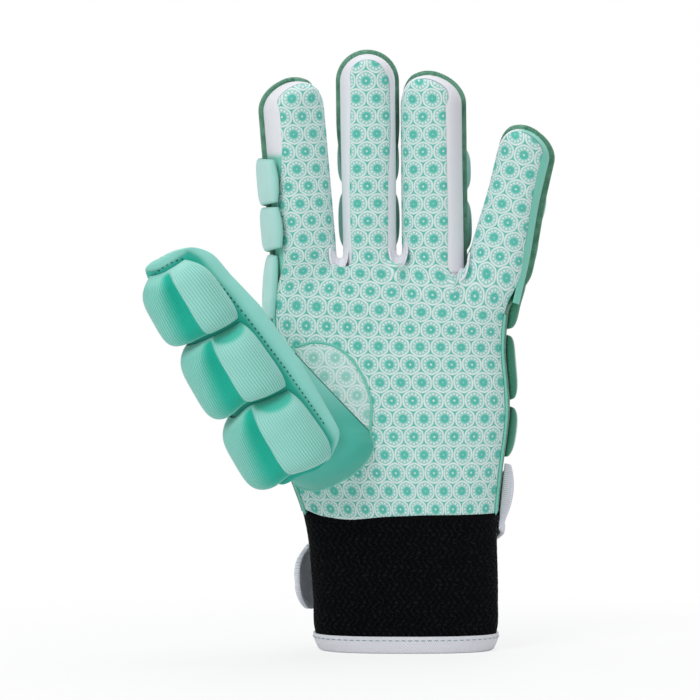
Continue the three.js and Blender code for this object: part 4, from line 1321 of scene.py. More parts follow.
def lip_steps():
    """Growth and depth of the padded back's thick edge: a quarter circle from its outer face to its front
    face, then straight in under the side panel."""
    turn = np.linspace(0, math.pi / 2, 5)
    grow = np.append(BACK_PROUD - LIP_ROLL + LIP_ROLL * np.cos(turn), [0.3, -0.5])
    level = np.append(LIP_ROLL - LIP_ROLL * np.sin(turn), [0, 0])
    return grow, level


def knit_edge(finger, side, place):
    """Where the back's outer face ends and its thick edge starts to turn."""
    return knit_level(finger, side, place) + LIP_ROLL


FINGER_KNIT_WALL = 0.5
LIP_TURN = 1.6  # of the knit's thin edge into the hand, millimetres


def knit_cloth(name, finger, points, lips, core):
    """A length of a finger's knit with its edge on both sides, laid out by distance across and height."""
    points = np.concatenate([lips[0][:, ::-1], points, lips[1]], axis=1)
    uv = np.stack([flat_across(points, 0.0) + finger.base[0], points[..., 2]], -1)
    return cloth(name, points, HEATHER, core, uv, wall=FINGER_KNIT_WALL)


def dress_knit_column(name):
    """The knit back's column up to a finger, from the hand's thin edge to the finger's thick one."""
    finger = FINGERS[name]
    share = COLUMN_COLUMNS
    place, height = column_rows(name, 40)
    blend = column_blend(name, False, share, place, height)
    girth = hand_part_of_column(name, False, share, height)
    on_hand = hand_point(angle_at(girth), height[:, None])
    x, y = finger_face(finger, share, place, knit_edge, 1, BACK_PROUD)
    x = knit_width(finger, x, place[:, None])
    points = lerp(on_hand, finger_point(finger, x, place[:, None], y), blend[..., None])
    grow, level = lip_steps()
    lips = []
    for side, edge in ((-1, 0), (1, -1)):
        depth = knit_level(finger, side, place)[:, None] + level[None, :]
        lip_x = knit_width(finger, side * rim_x(finger, place[:, None], depth, grow[None, :]), place[:, None])
        on_finger = finger_point(finger, lip_x, place[:, None], depth)
        inward = np.linspace(0, LIP_TURN, len(grow))[None, :, None]
        normal = unit(on_hand[:, [edge]] * np.array([1.0, 1.0, 0.0]) - np.array([-7.0, 0, 0]))
        lip_hand = on_hand[:, [edge]] - normal * inward * np.array([1.0, 1.0, 0.0])
        lips.append(lerp(lip_hand, on_finger, blend[:, [edge]][..., None]))
    piece = knit_cloth(f"{name}_base_knit", finger, points, lips, finger.base)
    knuckle_blend(piece)
    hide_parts(f"{name}_base_back")


def dress_knit_tip(name):
    """The padded knit back of a finger, with its thick edge standing past the side panels."""
    finger = FINGERS[name]
    foot = finger.bend / 2
    x, place, y, _ = tip_face(finger, CLIMB, COLUMN_COLUMNS, knit_edge, 1, BACK_PROUD)
    points = finger_point(finger, knit_width(finger, x, place), place, y)
    grow, level = lip_steps()
    lips = []
    for side in (-1, 1):
        depth = knit_level(finger, side, 0.0) + level[None, :]
        lip_x, lip_place = domed_rim(finger, CLIMB[:, None], depth, grow[None, :], foot)
        lips.append(finger_point(finger, knit_width(finger, side * lip_x, lip_place), lip_place, depth))
    piece = knit_cloth(f"{name}_tip_knit", finger, points, lips, finger.base + finger.along * 20)
    middle_blend(piece)
    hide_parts(f"{name}_tip_back")


BACK_FOOT = 0.5  # of the knit back over the cuff's edge, millimetres
PALM_PIPING = SimpleNamespace(proud=0.25, radius=0.6)


def dress_back():
    """The knit back of the hand, from the cuff to the foot of the columns, round to both side seams."""
    low, high = girth_of(SEAM_RIGHT), girth_of(math.pi - SEAM_RIGHT)
    girth = np.linspace(low, high, 171)[None, :]
    foot = CUFF_HEIGHT + BACK_FOOT
    place = np.linspace(foot, COLUMN_FOOT, 96)[:, None]
    edge = np.minimum(girth - low, high - girth)
    section = hand_section(place + 0 * girth)
    angle = angle_at(girth) + 0 * place
    drop = np.maximum(drop_at_edge(edge, EDGE_ROLL), drop_at_edge(place - foot, EDGE_ROLL))
    points = outline_point(section, angle) - outline_normal(section, angle) * drop[..., None]
    uv = np.stack(np.broadcast_arrays(girth, place), -1)
    piece = cloth("back_knit", points, HEATHER, (0, 0, 100), uv, wall=KNIT_WALL, lining=LINING)
    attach(piece, "hand")
    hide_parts("back_panel")
    for name, angle in (("inner", SEAM_RIGHT), ("outer", SEAM_LEFT)):
        run = np.linspace(CUFF_HEIGHT, COLUMN_FOOT, 80)
        path = hand_point(angle + 0 * run, run, PALM_PIPING.proud)
        cord = tube(f"palm_piping_{name}", path, PALM_PIPING.radius, PIPING)
        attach(cord, "hand")


WEB_SHIFT_SHARE = 0.5  # how far the web's ends stray from the slot's middle to its mark on the palm
WEB_FLARE = 3.3
WEB_WALL_AT = (-2.0, -4.0)  # place and depth on a finger at which its wall's distance is taken
WEB_RISE = 3.2  # of the trough's floor over the slot's foot, millimetres
WEB_DIP = 4.6  # of its two ends
WEB_LIP = 1.3
WEB_PLEAT = 0.22


def dress_web(gap):
    """The gathered white web at the foot of a slot: a trough from the palm's edge to the back's, whose
    front end opens out and turns down under the print."""
    left, right = FINGERS[gap.left], FINGERS[gap.right]
    lateral = np.linspace(-1, 1, 33)[None, :]
    run = np.linspace(0, 1, 40)[:, None]
    floor = gap.foot + WEB_RISE
    wall_left = finger_point(left, rim_x(left, *WEB_WALL_AT), *WEB_WALL_AT)[0]
    wall_right = finger_point(right, -rim_x(right, *WEB_WALL_AT), *WEB_WALL_AT)[0]
    inner_x = (wall_left + wall_right) / 2
    inner_half = max(1.6, (wall_right - wall_left) / 2 + 0.7)
    flare = np.clip((1 - smooth(run / 0.3)) + (1 - smooth((1 - run) / 0.3)), 0, 1)
    middle = lerp(inner_x, gap.x, WEB_SHIFT_SHARE * flare)
    half = lerp(inner_half, WEB_FLARE, flare)
    foot = np.array(gap.foot)
    front_y = float(hand_point(hand_angle(gap.x, foot, True), foot)[1]) + WEB_LIP
    y = lerp(front_y, -front_y, run)
    z = floor - WEB_DIP * flare**1.5
    x = middle + half * np.sin(lateral * math.pi / 2)
    z = z + (half * 0.9 + WEB_DIP) * (1 - np.cos(lateral * math.pi / 2))
    pleat = WEB_PLEAT * np.sin(lateral * 15 + 5 * run) * np.exp(-((run - 0.14) ** 2) / 0.012)
    y = y + pleat + WEB_LIP * np.abs(lateral) ** 2 * (0.5 - run) * 2
    points = np.stack(np.broadcast_arrays(x, y, z), -1)
    uv = points[..., [0, 1]]
    name = f"web_{gap.left}_{gap.right}_cloth"
    core = (float(inner_x), 0.0, floor - 40)
    piece = cloth(name, points, WEB_WHITE, core, uv, wall=STRETCH_WALL)
    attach(piece, "hand")
    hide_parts(f"web_{gap.left}_{gap.right}")


# Pads


def pillow(t, squareness=4.0):
    """Share of a pad's height at t from its middle, with 1 at its rim."""
    return np.sqrt(np.clip(1 - np.abs(t) ** squareness, 0, 1))


def rounded(p, q, corner=0.3):
    """A square's coordinates drawn in at its corners."""
    return p * np.sqrt(1 - corner * q**2 / 2), q * np.sqrt(1 - corner * p**2 / 2)


def pad_shell(name, place_point, count, finish, core, uv, values):
    """A closed pad: an outer grid and an inner grid joined round the rim. place_point(p, q, outer) gives
    points."""
    p = np.linspace(-1, 1, count[0])[None, :]
    q = np.linspace(-1, 1, count[1])[:, None]
    p, q = np.broadcast_arrays(p, q)
    outer = place_point(p, q, True)
    inner = place_point(p, q, False)
    rows, columns = p.shape
    top = grid_faces(rows, columns)
    size = rows * columns
    bottom = grid_faces(rows, columns)[:, ::-1] + size
    index = np.arange(size).reshape(rows, columns)
    rim = np.concatenate([index[0, :], index[1:, -1], index[-1, -2::-1], index[-2:0:-1, 0]])
    after = np.roll(rim, -1)
    side = np.stack([after, rim, rim + size, after + size], -1)
    faces = np.concatenate([top, bottom, side])
    points = np.concatenate([outer.reshape(-1, 3), inner.reshape(-1, 3)])
    if turned_out(points, top, core) is not top:
        faces = faces[:, ::-1]
    flat_uv = np.concatenate([uv(p, q).reshape(-1, 2)] * 2)
    flat_values = {key: np.concatenate([value(p, q).reshape(-1)] * 2) for key, value in values.items()}
    piece = new_mesh(name, points, faces, finish, flat_uv, flat_values, 0.001)
    return piece


PAD_MAP_SHARE = 1.15  # of a pad's flat width, for its swell
PAD_RIBS_SHARE = 0.25
PAD_TEAL_SHARE = 0.35


def limb_pad(
    name, node, body, section_at, span, places, grow, height, thin_side=0, thin_share=1.0, knit_and_shade_share=0.0
):
    """A moulded pad on a limb, with rounded corners. It may thin towards the side of its larger (1) or
    smaller (-1) angle, and a share of its width at its smaller angle takes the knit's colour: partly the
    knit, partly painted shade on the pad's shaded side."""
    middle, half = (span[0] + span[1]) / 2, (span[1] - span[0]) / 2
    centre = section_at(np.array((places[0] + places[1]) / 2), grow).centre
    top = outline_point(section_at(np.array(places[0]), grow), np.array(middle))
    width = float(np.linalg.norm(top - centre)) * half

    def place_point(p, q, outer):
        pr, qr = rounded(p, q)
        angle = middle + half * pr
        place = lerp(places[0], places[1], (qr + 1) / 2)
        section = section_at(place, grow)
        base = outline_point(section, angle)
        crown = pillow(p) * pillow(q) * lerp(1, thin_share, smooth((thin_side * p + 0.5) / 0.8))
        lift = SEAT_GAP + (PAD_RIM + (height - PAD_RIM) * crown if outer else 0 * crown)
        return base + outline_normal(section, angle) * lift[..., None]

    def uv(p, q):
        return np.stack([p * width * PAD_MAP_SHARE + 0 * q, q * (places[1] - places[0]) / 2], -1)

    values = {
        "ribs": lambda p, q: PAD_RIBS_SHARE * smooth((0.96 - np.maximum(np.abs(p), np.abs(q))) / 0.1),
        "teal": lambda p, q: PAD_TEAL_SHARE * smooth((np.maximum(np.abs(p), np.abs(q)) - 0.86) / 0.14),
        # The knit's colour along the pad's side at its smaller angle: partly the knit, partly painted shade.
        "knit": lambda p, q: smooth((2 * knit_and_shade_share - 1 - p + 0 * q) / 0.04) if knit_and_shade_share else 0 * p,
    }
    piece = pad_shell(name, place_point, (46, 46), PAD_COVER, centre, uv, values)
    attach(piece, body)
    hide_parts(node)
    return piece


def finger_section(finger):
    """A finger's sections for its pads, with no round tip."""

    def section_at(place, grow):
        place = np.asarray(place, float)
        share = np.clip(place / finger.length, 0, 1)
        width, depth = full_size(finger, place, grow)
        turn_cos, turn_sin = math.cos(finger.twist), math.sin(finger.twist)
        tilt = (TIP_TILT_SHARE * smooth(share))[..., None]
        centre = finger.base + finger.along * place[..., None]
        return SimpleNamespace(
            centre=centre - finger.rear * (FINGER_CURL * share**2)[..., None],
            across=finger.across * turn_cos + finger.rear * turn_sin,
            rear=finger.rear * turn_cos - finger.across * turn_sin + finger.along * tilt,
            width=width,
            front=depth,
            back=depth,
            squareness=FINGER_SQUARENESS,
        )

    return section_at


FINGER_PAD_SPAN = (math.radians(42), math.radians(138))
INDEX_PAD_SPAN = (math.radians(48), math.radians(212))
PAD_TIP_SHARE = 0.39


def dress_finger_pads(name):
    finger = FINGERS[name]
    span = INDEX_PAD_SPAN if name == "index" else FINGER_PAD_SPAN
    top = finger.bend + (finger.length - finger.bend) * PAD_TIP_SHARE
    gap = INDEX_PAD_GAP if name == "index" else PAD_GROOVE
    foot = INDEX_PAD_FOOT if name == "index" else PAD_FOOT
    rows = {"base": (foot, finger.bend - gap / 2), "tip": (finger.bend + gap / 2, top)}
    for part, places in rows.items():
        limb_pad(
            f"{name}_{part}_foam",
            f"{name}_{part}_pad",
            f"{name}_{part}",
            finger_section(finger),
            span,
            places,
            BACK_PROUD,
            FINGER_PAD_HEIGHT,
            *((1, OUTER_THIN_SHARE) if name == "index" else ()),
        )


def knuckle_section(place, grow=0.0):
    """The hand's section with no rounded top: the knuckle pads run on up over the feet of the fingers."""
    section = hand_section(np.minimum(place, HAND_HEIGHT - WEB_CAP), grow)
    section.centre[..., 2] = place
    return section


def knuckle_top(finger):
    """Height on the hand up to which a knuckle pad stays under its finger's knuckle plane."""
    slope = math.sin(KNUCKLE_SLOPE)
    fall = abs(slope - math.sin(finger.lean)) * finger.half_width[0]
    centre = HAND_SHARES[-1, 2] * PALM_HALF_WIDTH
    rise = INDEX_KNUCKLE_RISE if finger is FINGERS["index"] else 0.0
    return finger.base[2] + (finger.base[0] - centre) * slope - fall - PAD_GROOVE / 2 + rise


def dress_hand_pads():
    """Knuckle pads over the roots of the fingers, two pads below them and one over the wrist's top."""

    def at(share):
        return math.acos(math.copysign(abs(share) ** (HAND_SQUARENESS / 2), share))

    inner_edge, outer_edge = (math.radians(angle) for angle in HAND_PAD_SPAN)
    knuckle_edge = outer_edge + math.radians(KNUCKLE_LAP)
    outer_edge += math.radians(OUTER_LAP)
    half = PAD_GROOVE / 2
    turn = half / PALM_HALF_WIDTH
    wrist_foot, middle_foot, knuckle_foot = (
        lerp(CUFF_HEIGHT, HAND_HEIGHT, share) for share in PAD_FOOT_SHARES
    )
    outer, inner, even = (1, OUTER_THIN_SHARE), (-1, INNER_THIN_SHARE), (0, 1.0)
    short, broad, long = ((*inner, share) for share in KNIT_AND_SHADE_SHARES)
    angles = [knuckle_edge, at(-0.5), at(0), at(0.5), inner_edge]
    rows = [
        (
            f"knuckle_pad_{name}",
            (angles[i + 1] + turn, angles[i] - turn),
            knuckle_foot,
            knuckle_top(finger),
            thin,
        )
        for i, ((name, finger), thin) in enumerate(zip(FINGERS.items(), (outer, even, even, short)))
    ]
    rows += [
        ("back_pad_outer", (at(0) + turn, outer_edge), middle_foot, knuckle_foot, outer),
        ("back_pad_inner", (inner_edge, at(0) - turn), middle_foot, knuckle_foot, broad),
        ("wrist_pad", (inner_edge, at(WRIST_PAD_SHARE)), wrist_foot, middle_foot, long),
    ]
    for node, span, foot, top, thin in rows:
        places = (foot + half, top - half)
        limb_pad(f"{node}_foam", node, "hand", knuckle_section, span, places, 0.0, HAND_PAD_HEIGHT, *thin)


# Cuff and strap


CUFF_TUCK = 1.2  # of the cuff under the palm's hem, millimetres
CUFF_BAND = 1.5  # smooth below the hem
CUFF_SINK = 0.35  # of the ribs' middle line below the hand's surface
CUFF_RIB_HEIGHT = 0.05
CUFF_WALL = 1.6
BINDING_STITCH = SimpleNamespace(drop=1.2, proud=1.1, pitch=2.6, length=1.9, radius=0.14)


def dress_cuff():
    """The elastic from the binding to its smooth top band under the palm's hem."""
    turn = angle_at(np.linspace(girth_of(-math.pi), girth_of(math.pi), 240, endpoint=False))[None, :]
    top = CUFF_HEIGHT + CUFF_TUCK
    place = np.linspace(CUFF_FOOT, top, 90)[:, None]
    section = hand_section(place + 0 * turn)
    angle = turn + 0 * place
    run = girth_of(turn) * 0.8
    zig = np.abs((place % (2 * CUFF_RIB_TURN)) - CUFF_RIB_TURN)
    slant = run + CUFF_RIB_SLANT_SHARE * zig
    rib = np.sin(2 * math.pi * slant / CUFF_RIB_PITCH) * smooth((CUFF_HEIGHT - CUFF_BAND - place) / 2)
    drop = CUFF_SINK - CUFF_RIB_HEIGHT * rib + drop_at_edge(top - place, 0.8)
    points = outline_point(section, angle) - outline_normal(section, angle) * drop[..., None]
    ribs = smooth((CUFF_HEIGHT - 1.0 - place) / 1.5) + 0 * angle
    uv = np.stack(np.broadcast_arrays(run, place), -1)
    piece = cloth("cuff_knit", points, ELASTIC, (0, 0, 30), uv, {"ribs": ribs}, CUFF_WALL, wrap=True)
    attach(piece, "hand")
    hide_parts("cuff_elastic")


def dress_binding():
    """The folded binding: its profile goes up its outer face, over the top edge, and comes back inside the
    cuff."""
    turn = np.linspace(0, 2 * math.pi, 240, endpoint=False)[None, :]
    bend = np.linspace(0, math.pi, 9)
    swell = 0.7 + 0.35 * np.sin(np.linspace(0, math.pi, 14))
    grow = np.concatenate([swell, 0.1 + 0.6 * np.cos(bend), [-2.6, -3.4]])
    face = np.linspace(0.5, BINDING_HEIGHT, 14)
    level = np.concatenate([face, BINDING_HEIGHT + 0.3 * np.sin(bend), [4.5, 0.5]])
    grow = np.concatenate([[0.1], grow, [-2.8]])[:, None]
    level = np.concatenate([[0.0], level, [0.0]])[:, None]
    section = hand_section(level + 0 * turn)
    angle = turn + 0 * level
    points = outline_point(section, angle) + outline_normal(section, angle) * (grow + 0 * turn)[..., None]
    points = np.concatenate([points, points[:1]])
    uv = np.stack(np.broadcast_arrays(turn * 40, np.append(level, level[:1], 0)), -1)
    piece = cloth("cuff_rim_binding", points, BINDING, (0, 0, 3), uv, wrap=True)
    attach(piece, "hand")
    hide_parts("cuff_binding")
    stitch = BINDING_STITCH
    place = np.full(400, BINDING_HEIGHT - stitch.drop)
    path = hand_point(np.linspace(0, 2 * math.pi, 400), place, stitch.proud)
    sizes = (stitch.pitch, stitch.length, stitch.radius)
    thread = stitches("binding_stitches", path, unit(path * [1, 1, 0]), *sizes, GREY_THREAD_AND_SEAM_SHADE)
    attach(thread, "hand")


def strap_run():
    """Length of the strap from its anchor to where it leaves the cuff."""
    share = np.linspace(0, 1, 25)
    points = hand_point(np.radians(lerp(*STRAP_SPAN, share)), lerp(*STRAP_HEIGHTS, share))
    return float(run_of(points)[-1])


STRAP_RUN = strap_run()
STRAP_WHOLE_SHARE = 1 + STRAP_TAIL / STRAP_RUN  # the band's length to that run
STRAP_END_SHARE = 0.12  # of the band that its rounded end takes
STRAP_ANCHOR_SHARE = 0.06
STRAP_BOUND = 2.6  # width of the bound edge, millimetres
STRAP_FOLD = 3.4  # height of the fold at the anchor
STRAP_CURL = 2.6  # of the free end off the wrist
STRAP_HUG = 1.0  # of the stretch before it towards the wrist
PATCH_SHARES = (0.54, 0.95)  # of the run
PATCH_HEIGHT = 1.3
PATCH_MARGIN = 0.6


def strap_point(share, rise, lift):
    """A point of the strap at a share along it and a height above its middle line; past the cuff it runs
    straight."""
    share, rise, lift = np.broadcast_arrays(share, rise, lift)
    along = share * STRAP_WHOLE_SHARE
    angle = np.radians(lerp(*STRAP_SPAN, np.minimum(1, along)))
    place = lerp(*STRAP_HEIGHTS, np.minimum(1, along)) + rise
    section = hand_section(place)
    normal = outline_normal(section, angle)
    point = outline_point(section, angle) + normal * lift[..., None]
    step = outline_point(section, angle + 0.02) + normal * lift[..., None]
    tangent = unit(step - point)
    return point + tangent * (np.maximum(along - 1, 0) * STRAP_RUN)[..., None]


def dress_strap():
    """The wrist strap: a closed band with a bound edge that stands up round its rounded free end."""
    share = (1 - np.cos(np.linspace(0, math.pi, 160))) / 2
    end = np.clip((share - (1 - STRAP_END_SHARE)) / STRAP_END_SHARE, 0, 1)
    half = STRAP_WIDTH / 2 * np.sqrt(1 - end**2)
    half[-1] = 0.05
    rise = np.sin(np.linspace(-1, 1, 40) * math.pi / 2)
    wide = half[:, None] * rise[None, :]
    down = (1 - share) * STRAP_RUN * STRAP_WHOLE_SHARE
    near = np.minimum(half[:, None] * (1 - np.abs(rise)[None, :]), down[:, None])
    bound = 1 - smooth((near - STRAP_BOUND) / 0.5)
    middle = STRAP_LIFT + STRAP_WALL / 2
    # At its anchor it lies close to the wrist, and its middle is folded under and stands off.
    anchor = np.exp(-((share / STRAP_ANCHOR_SHARE) ** 2))[:, None]
    closed = np.sqrt(1 - (1 - np.minimum(share * STRAP_RUN / 1.4, 1)) ** 2)[:, None]
    face = 1.5 + 0.75 * bound * (1 - anchor) - drop_at_edge(near, 0.7)
    fold = STRAP_FOLD * anchor * (1 - np.abs(rise - 0.15) ** 2)[None, :]
    along = share[:, None] * STRAP_WHOLE_SHARE
    curl = STRAP_CURL * smooth((along - 0.93) / 0.14) - STRAP_HUG * smooth((along - 0.75) / 0.15)
    foot = middle - 1.1 - 0.2 * bound - 1.5 * anchor + curl
    outer = strap_point(share[:, None], wide, foot + (face + fold + 0.2 * bound) * closed)
    inner = strap_point(share[:, None], wide, foot)
    uv = there_and_back(np.stack(np.broadcast_arrays(wide, share[:, None] * STRAP_RUN), -1))
    points = there_and_back(outer, inner)
    piece = cloth("strap_band", points, WEBBING, STRAP_CORE, uv, wrap=True, weld=0.03)
    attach(piece, "strap")
    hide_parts("wrist_strap")


def dress_loop_patch():
    """The loop patch on the cuff that the strap is fastened to."""
    share = np.linspace(*PATCH_SHARES, 50)[:, None] / STRAP_WHOLE_SHARE
    wide = np.linspace(-1, 1, 24)[None, :] * (STRAP_WIDTH / 2 - PATCH_MARGIN)
    top = strap_point(share, wide, PATCH_HEIGHT + 0 * share)
    foot = strap_point(share, wide, SEAT_GAP + 0 * share)
    uv = there_and_back(np.stack(np.broadcast_arrays(wide, share * STRAP_RUN), -1))
    piece = cloth("loop_pile_patch", there_and_back(top, foot), PILE, STRAP_CORE, uv, wrap=True)
    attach(piece, "hand")
    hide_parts("loop_patch")


# Thumb


THUMB_BLEND_REACH = 8.0  # to each side of a bend, millimetres


def thumb_blend(piece, joint):
    """Bakes the piece's placement into its mesh. The stall's centres a reach to each side of the bend are
    found but not used.
    """
    at = THUMB_BENDS[joint]
    start, end = (put(thumb_section(np.array(at + s * THUMB_BLEND_REACH)).centre) for s in (-1, 1))
    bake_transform(piece)


STALL_MEET = (THUMB_BENDS[0] + THUMB_BENDS[1]) / 2
THUMB_CORE = thumb_section(np.array(60.0)).centre  # about halfway up the stall, inside it


def dress_stall():
    """The stall: a printed tube in two lengths that meet halfway between its bends. It rises from under the
    gusset's edge and is closed by a dome at the tip. The print is laid out from the middle of its rear."""
    turn = np.linspace(-math.pi / 2, 3 * math.pi / 2, 96, endpoint=False)[None, :]
    rear = turn.size // 2
    radius = THUMB_HALF_WIDTH[1]
    edge = np.array(STALL_EDGE)
    foot = np.interp(np.degrees(turn), edge[:, 0], edge[:, 1], period=360) - LAP
    dome = THUMB_LENGTH - radius * (1 - np.sin(np.linspace(0, math.pi / 2, 22)))
    upper = np.concatenate([np.linspace(STALL_MEET, THUMB_LENGTH - radius, 50)[:-1], dome])[:, None]
    lengths = {
        "middle": (lerp(foot, STALL_MEET, np.linspace(0, 1, 50)[:, None]), 0, False),
        "tip": (upper + 0 * turn, 1, True),
    }
    for name, (place, joint, domed) in lengths.items():
        points = thumb_point(turn, place, 0.0, domed)
        ring = points[0] if domed else points[-1]
        arc = run_of(ring)
        drawn_in = thumb_section(place, 0.0, domed).width / thumb_section(place, 0.0, False).width
        climb = run_of(points[:, rear])
        climb += STALL_MEET - (0 if domed else climb[-1])
        uv = np.stack([(arc - arc[rear])[None, :] * drawn_in, climb[:, None] + 0 * place], -1)
        print_name = f"thumb_stall_{name}_print"
        piece = cloth(print_name, points, PRINT, THUMB_CORE, uv, wall=PRINT_WALL, wrap=True, lining=LINING)
        thumb_blend(piece, joint)
        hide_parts(f"thumb_stall_{name}")


# Outer edge of the thumb's gusset on the hand, as x and z on the palm, clockwise from the index finger's
# side. The arc's chord is the seam between the printed web, which fills the arc, and the gusset.
THENAR_ARC = [
    (-45.2, 121.4), (-37.5, 123.3), (-28.8, 121.8), (-22.0, 116.2),
    (-17.2, 108.1), (-14.6, 98.5), (-15.2, 88.2),
]
GUSSET_FOOT = [(-14.0, 82.5), (-17.6, 75.8), (-25.2, 69.6), (-35.4, 65.2), (-43.5, 66.0)]
# Then round the hand's side, as angles in degrees and heights
GUSSET_SIDE = [(-166, 72.0), (-180, 82.0), (-186, 95.0), (-182, 108.0), (-168, 117.0), (-152, 121.5)]
# Inner edge on the stall, for the same keys: angles in degrees and places along the thumb
STALL_EDGE = [
    (30, 36), (14, 35), (0, 33), (-14, 29), (-26, 24), (-30, 17), (-32, 12),
    (-38, 8), (-54, 6), (-80, 5.4), (-110, 5.4), (-138, 8),
    (-152, 12), (-160, 20), (-180, 29), (-215, 34), (-250, 36), (-290, 37),
]
CHORD_FROM = np.array([-46.6, 120.8])
CHORD_TO = np.array([-15.2, 88.2])
CHORD_RISE = 5.0  # by which the seam stands off the palm halfway along


def gusset_edges(count):
    """The gusset's outer edge on the hand and its inner edge on the stall, point for point."""
    outer = []
    for x, z in THENAR_ARC + GUSSET_FOOT:
        outer.append((float(hand_angle(x, np.array(z), True)), z))
    outer += [(math.radians(angle), z) for angle, z in GUSSET_SIDE]
    keys = np.array(outer)
    turns = np.array([(math.radians(angle), place) for angle, place in STALL_EDGE])
    # The inner edge's angle falls by a whole turn round the stall, so the last key leads on to the first.
    whole = np.array([2 * math.pi, 0])
    padded = np.concatenate([turns[-1:] + whole, turns, turns[:2] - whole])
    t = np.linspace(0, len(keys), count)
    k = np.minimum(t.astype(int), len(keys) - 1)
    edge = curve_between(*(padded[k + i] for i in range(4)), (t - k)[:, None])
    ring = spline(keys, count - 1, closed=True)
    ring = np.concatenate([ring, ring[:1]])
    return hand_point(ring[:, 0], ring[:, 1]), thumb_point(edge[:, 0], edge[:, 1], 0.4, False)


def swelled(low, high, share, swell):
    """Between two edges, swelled forwards by a share of the distance between them."""
    share = np.asarray(share)[..., None]
    chord = np.linalg.norm(high - low, axis=-1, keepdims=True)
    forward = unit(np.array([0.25, -1.0, 0.0]))
    belly = forward * chord * np.asarray(swell)[..., None] * np.sin(math.pi * share**0.8)
    return lerp(low, high, share) + belly


def web_chord(count):
    """The straight seam of the printed web, which stands off the palm in the middle."""
    s = np.linspace(0, 1, count)
    flat = lerp(CHORD_FROM, CHORD_TO, s[:, None])
    points = hand_point(hand_angle(flat[:, 0], flat[:, 1], True), flat[:, 1])
    return points - np.array([0, 1, 0]) * (CHORD_RISE * np.sin(math.pi * s) ** 0.8)[:, None]


KEY_STEPS = 14  # between two keys of the gusset's edges
WEB_SWELL_SHARE = 0.05
GUSSET_SWELL_SHARES = (0.2, 0.05)  # at the ball of the thumb, and beside the web
GUSSET_SHADE_SHARES = (1.0, 0.45)  # of painted shade, at its outer and its inner edge
THUMB_PIPING = SimpleNamespace(proud=0.3, radius=0.55)
WEB_SEAM = SimpleNamespace(proud=0.1, radius=0.25)
CORD_STEP = 0.8


def dress_gusset():
    """The thumb's gusset and the printed web set into it, with piping round their outer edge."""
    count = len(STALL_EDGE) * KEY_STEPS + 1
    outer, inner = gusset_edges(count)
    last = (len(THENAR_ARC) - 1) * KEY_STEPS
    chord = web_chord(last + 1)
    rows = np.linspace(0, 1, 26)
    arc = outer[: last + 1]
    swell = np.full((1, 1), WEB_SWELL_SHARE)
    points = swelled(arc[:, None], chord[:, None], 0 * chord[:, :1] + rows[None, :], swell)
    uv = np.stack([points[..., 0] * 0.96 + 3, points[..., 2] * 0.96 + 2], -1)
    piece = cloth("thumb_web_print", points, WEB_PRINT, (-35, 0, 90), uv, wall=PRINT_WALL)
    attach(piece, "hand")
    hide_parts("thumb_web")

    seam = outer.copy()
    seam[: last + 1] = chord
    t = np.arange(count) / KEY_STEPS
    beside_web = smooth((len(THENAR_ARC) - 0.5 - t) / 1.5) + smooth((t - 16) / 2)
    swell = lerp(*GUSSET_SWELL_SHARES, np.clip(beside_web, 0, 1))[:, None]
    points = swelled(seam[:, None], inner[:, None], 0 * swell + rows[None, :], swell)
    run = run_of(seam)
    uv = np.stack(np.broadcast_arrays(run[:, None], rows[None, :] * 30), -1)
    # Painted shade: the gusset darkens to teal except near its top at both ends, most at its outer edge.
    teal = smooth((t - 2) / 4) * smooth((17 - t) / 3)
    teal = teal[:, None] * lerp(*GUSSET_SHADE_SHARES, rows[None, :])
    piece = cloth("thumb_gusset_cloth", points, GUSSET, (-35, 5, 90), uv, {"teal": teal}, STRETCH_WALL)
    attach(piece, "hand")
    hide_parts("thumb_gusset")

    forward = np.array([0, -1, 0])
    path = resampled(outer + forward * THUMB_PIPING.proud, CORD_STEP)
    cord = tube("thumb_piping", path, THUMB_PIPING.radius, PIPING)
    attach(cord, "hand")
    path = resampled(chord + forward * WEB_SEAM.proud, CORD_STEP)
    cord = tube("web_seam", path, WEB_SEAM.radius, TEAL_THREAD)
    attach(cord, "hand")


def plate_ends(q, foot, head):
    """Share of the plate's span at q along it, drawn in to a round end."""
    low = np.clip((foot - q) / (foot + 1e-9), 0, 1)
    high = np.clip((q - head) / (1 - head), 0, 1)
    end = np.maximum(low, high)
    return np.sqrt(np.clip(1 - end**2.6, 0, 1))


PLATE_FOOT_END = 0.14
PLATE_HEAD_START = 0.86


def plate_flare(turn, place):
    """By how much the plate stands off the stall towards its right edge."""
    start = GUARD_BLOCK_RIGHT[0] * 0.8
    end = lerp(*GUARD_PLATE_RIGHT, place / THUMB_LENGTH) * 0.97
    most = np.interp(place / THUMB_LENGTH, GUARD_FLARE_SHARES, GUARD_FLARE)
    return most * smooth((turn - start) / (end - start))


PLATE_PROUD = 0.2  # of the cover over the solid plate, millimetres
PLATE_EDGE_ROLL = 1.2
CHANNEL = SimpleNamespace(away=1.0, width=0.7, depth=0.4)  # the sewn channel beside the blocks
FLARE_FADE = 12  # from the plate's ends to where its edge flares in full
INNER_FLARE_SHARE = 0.6


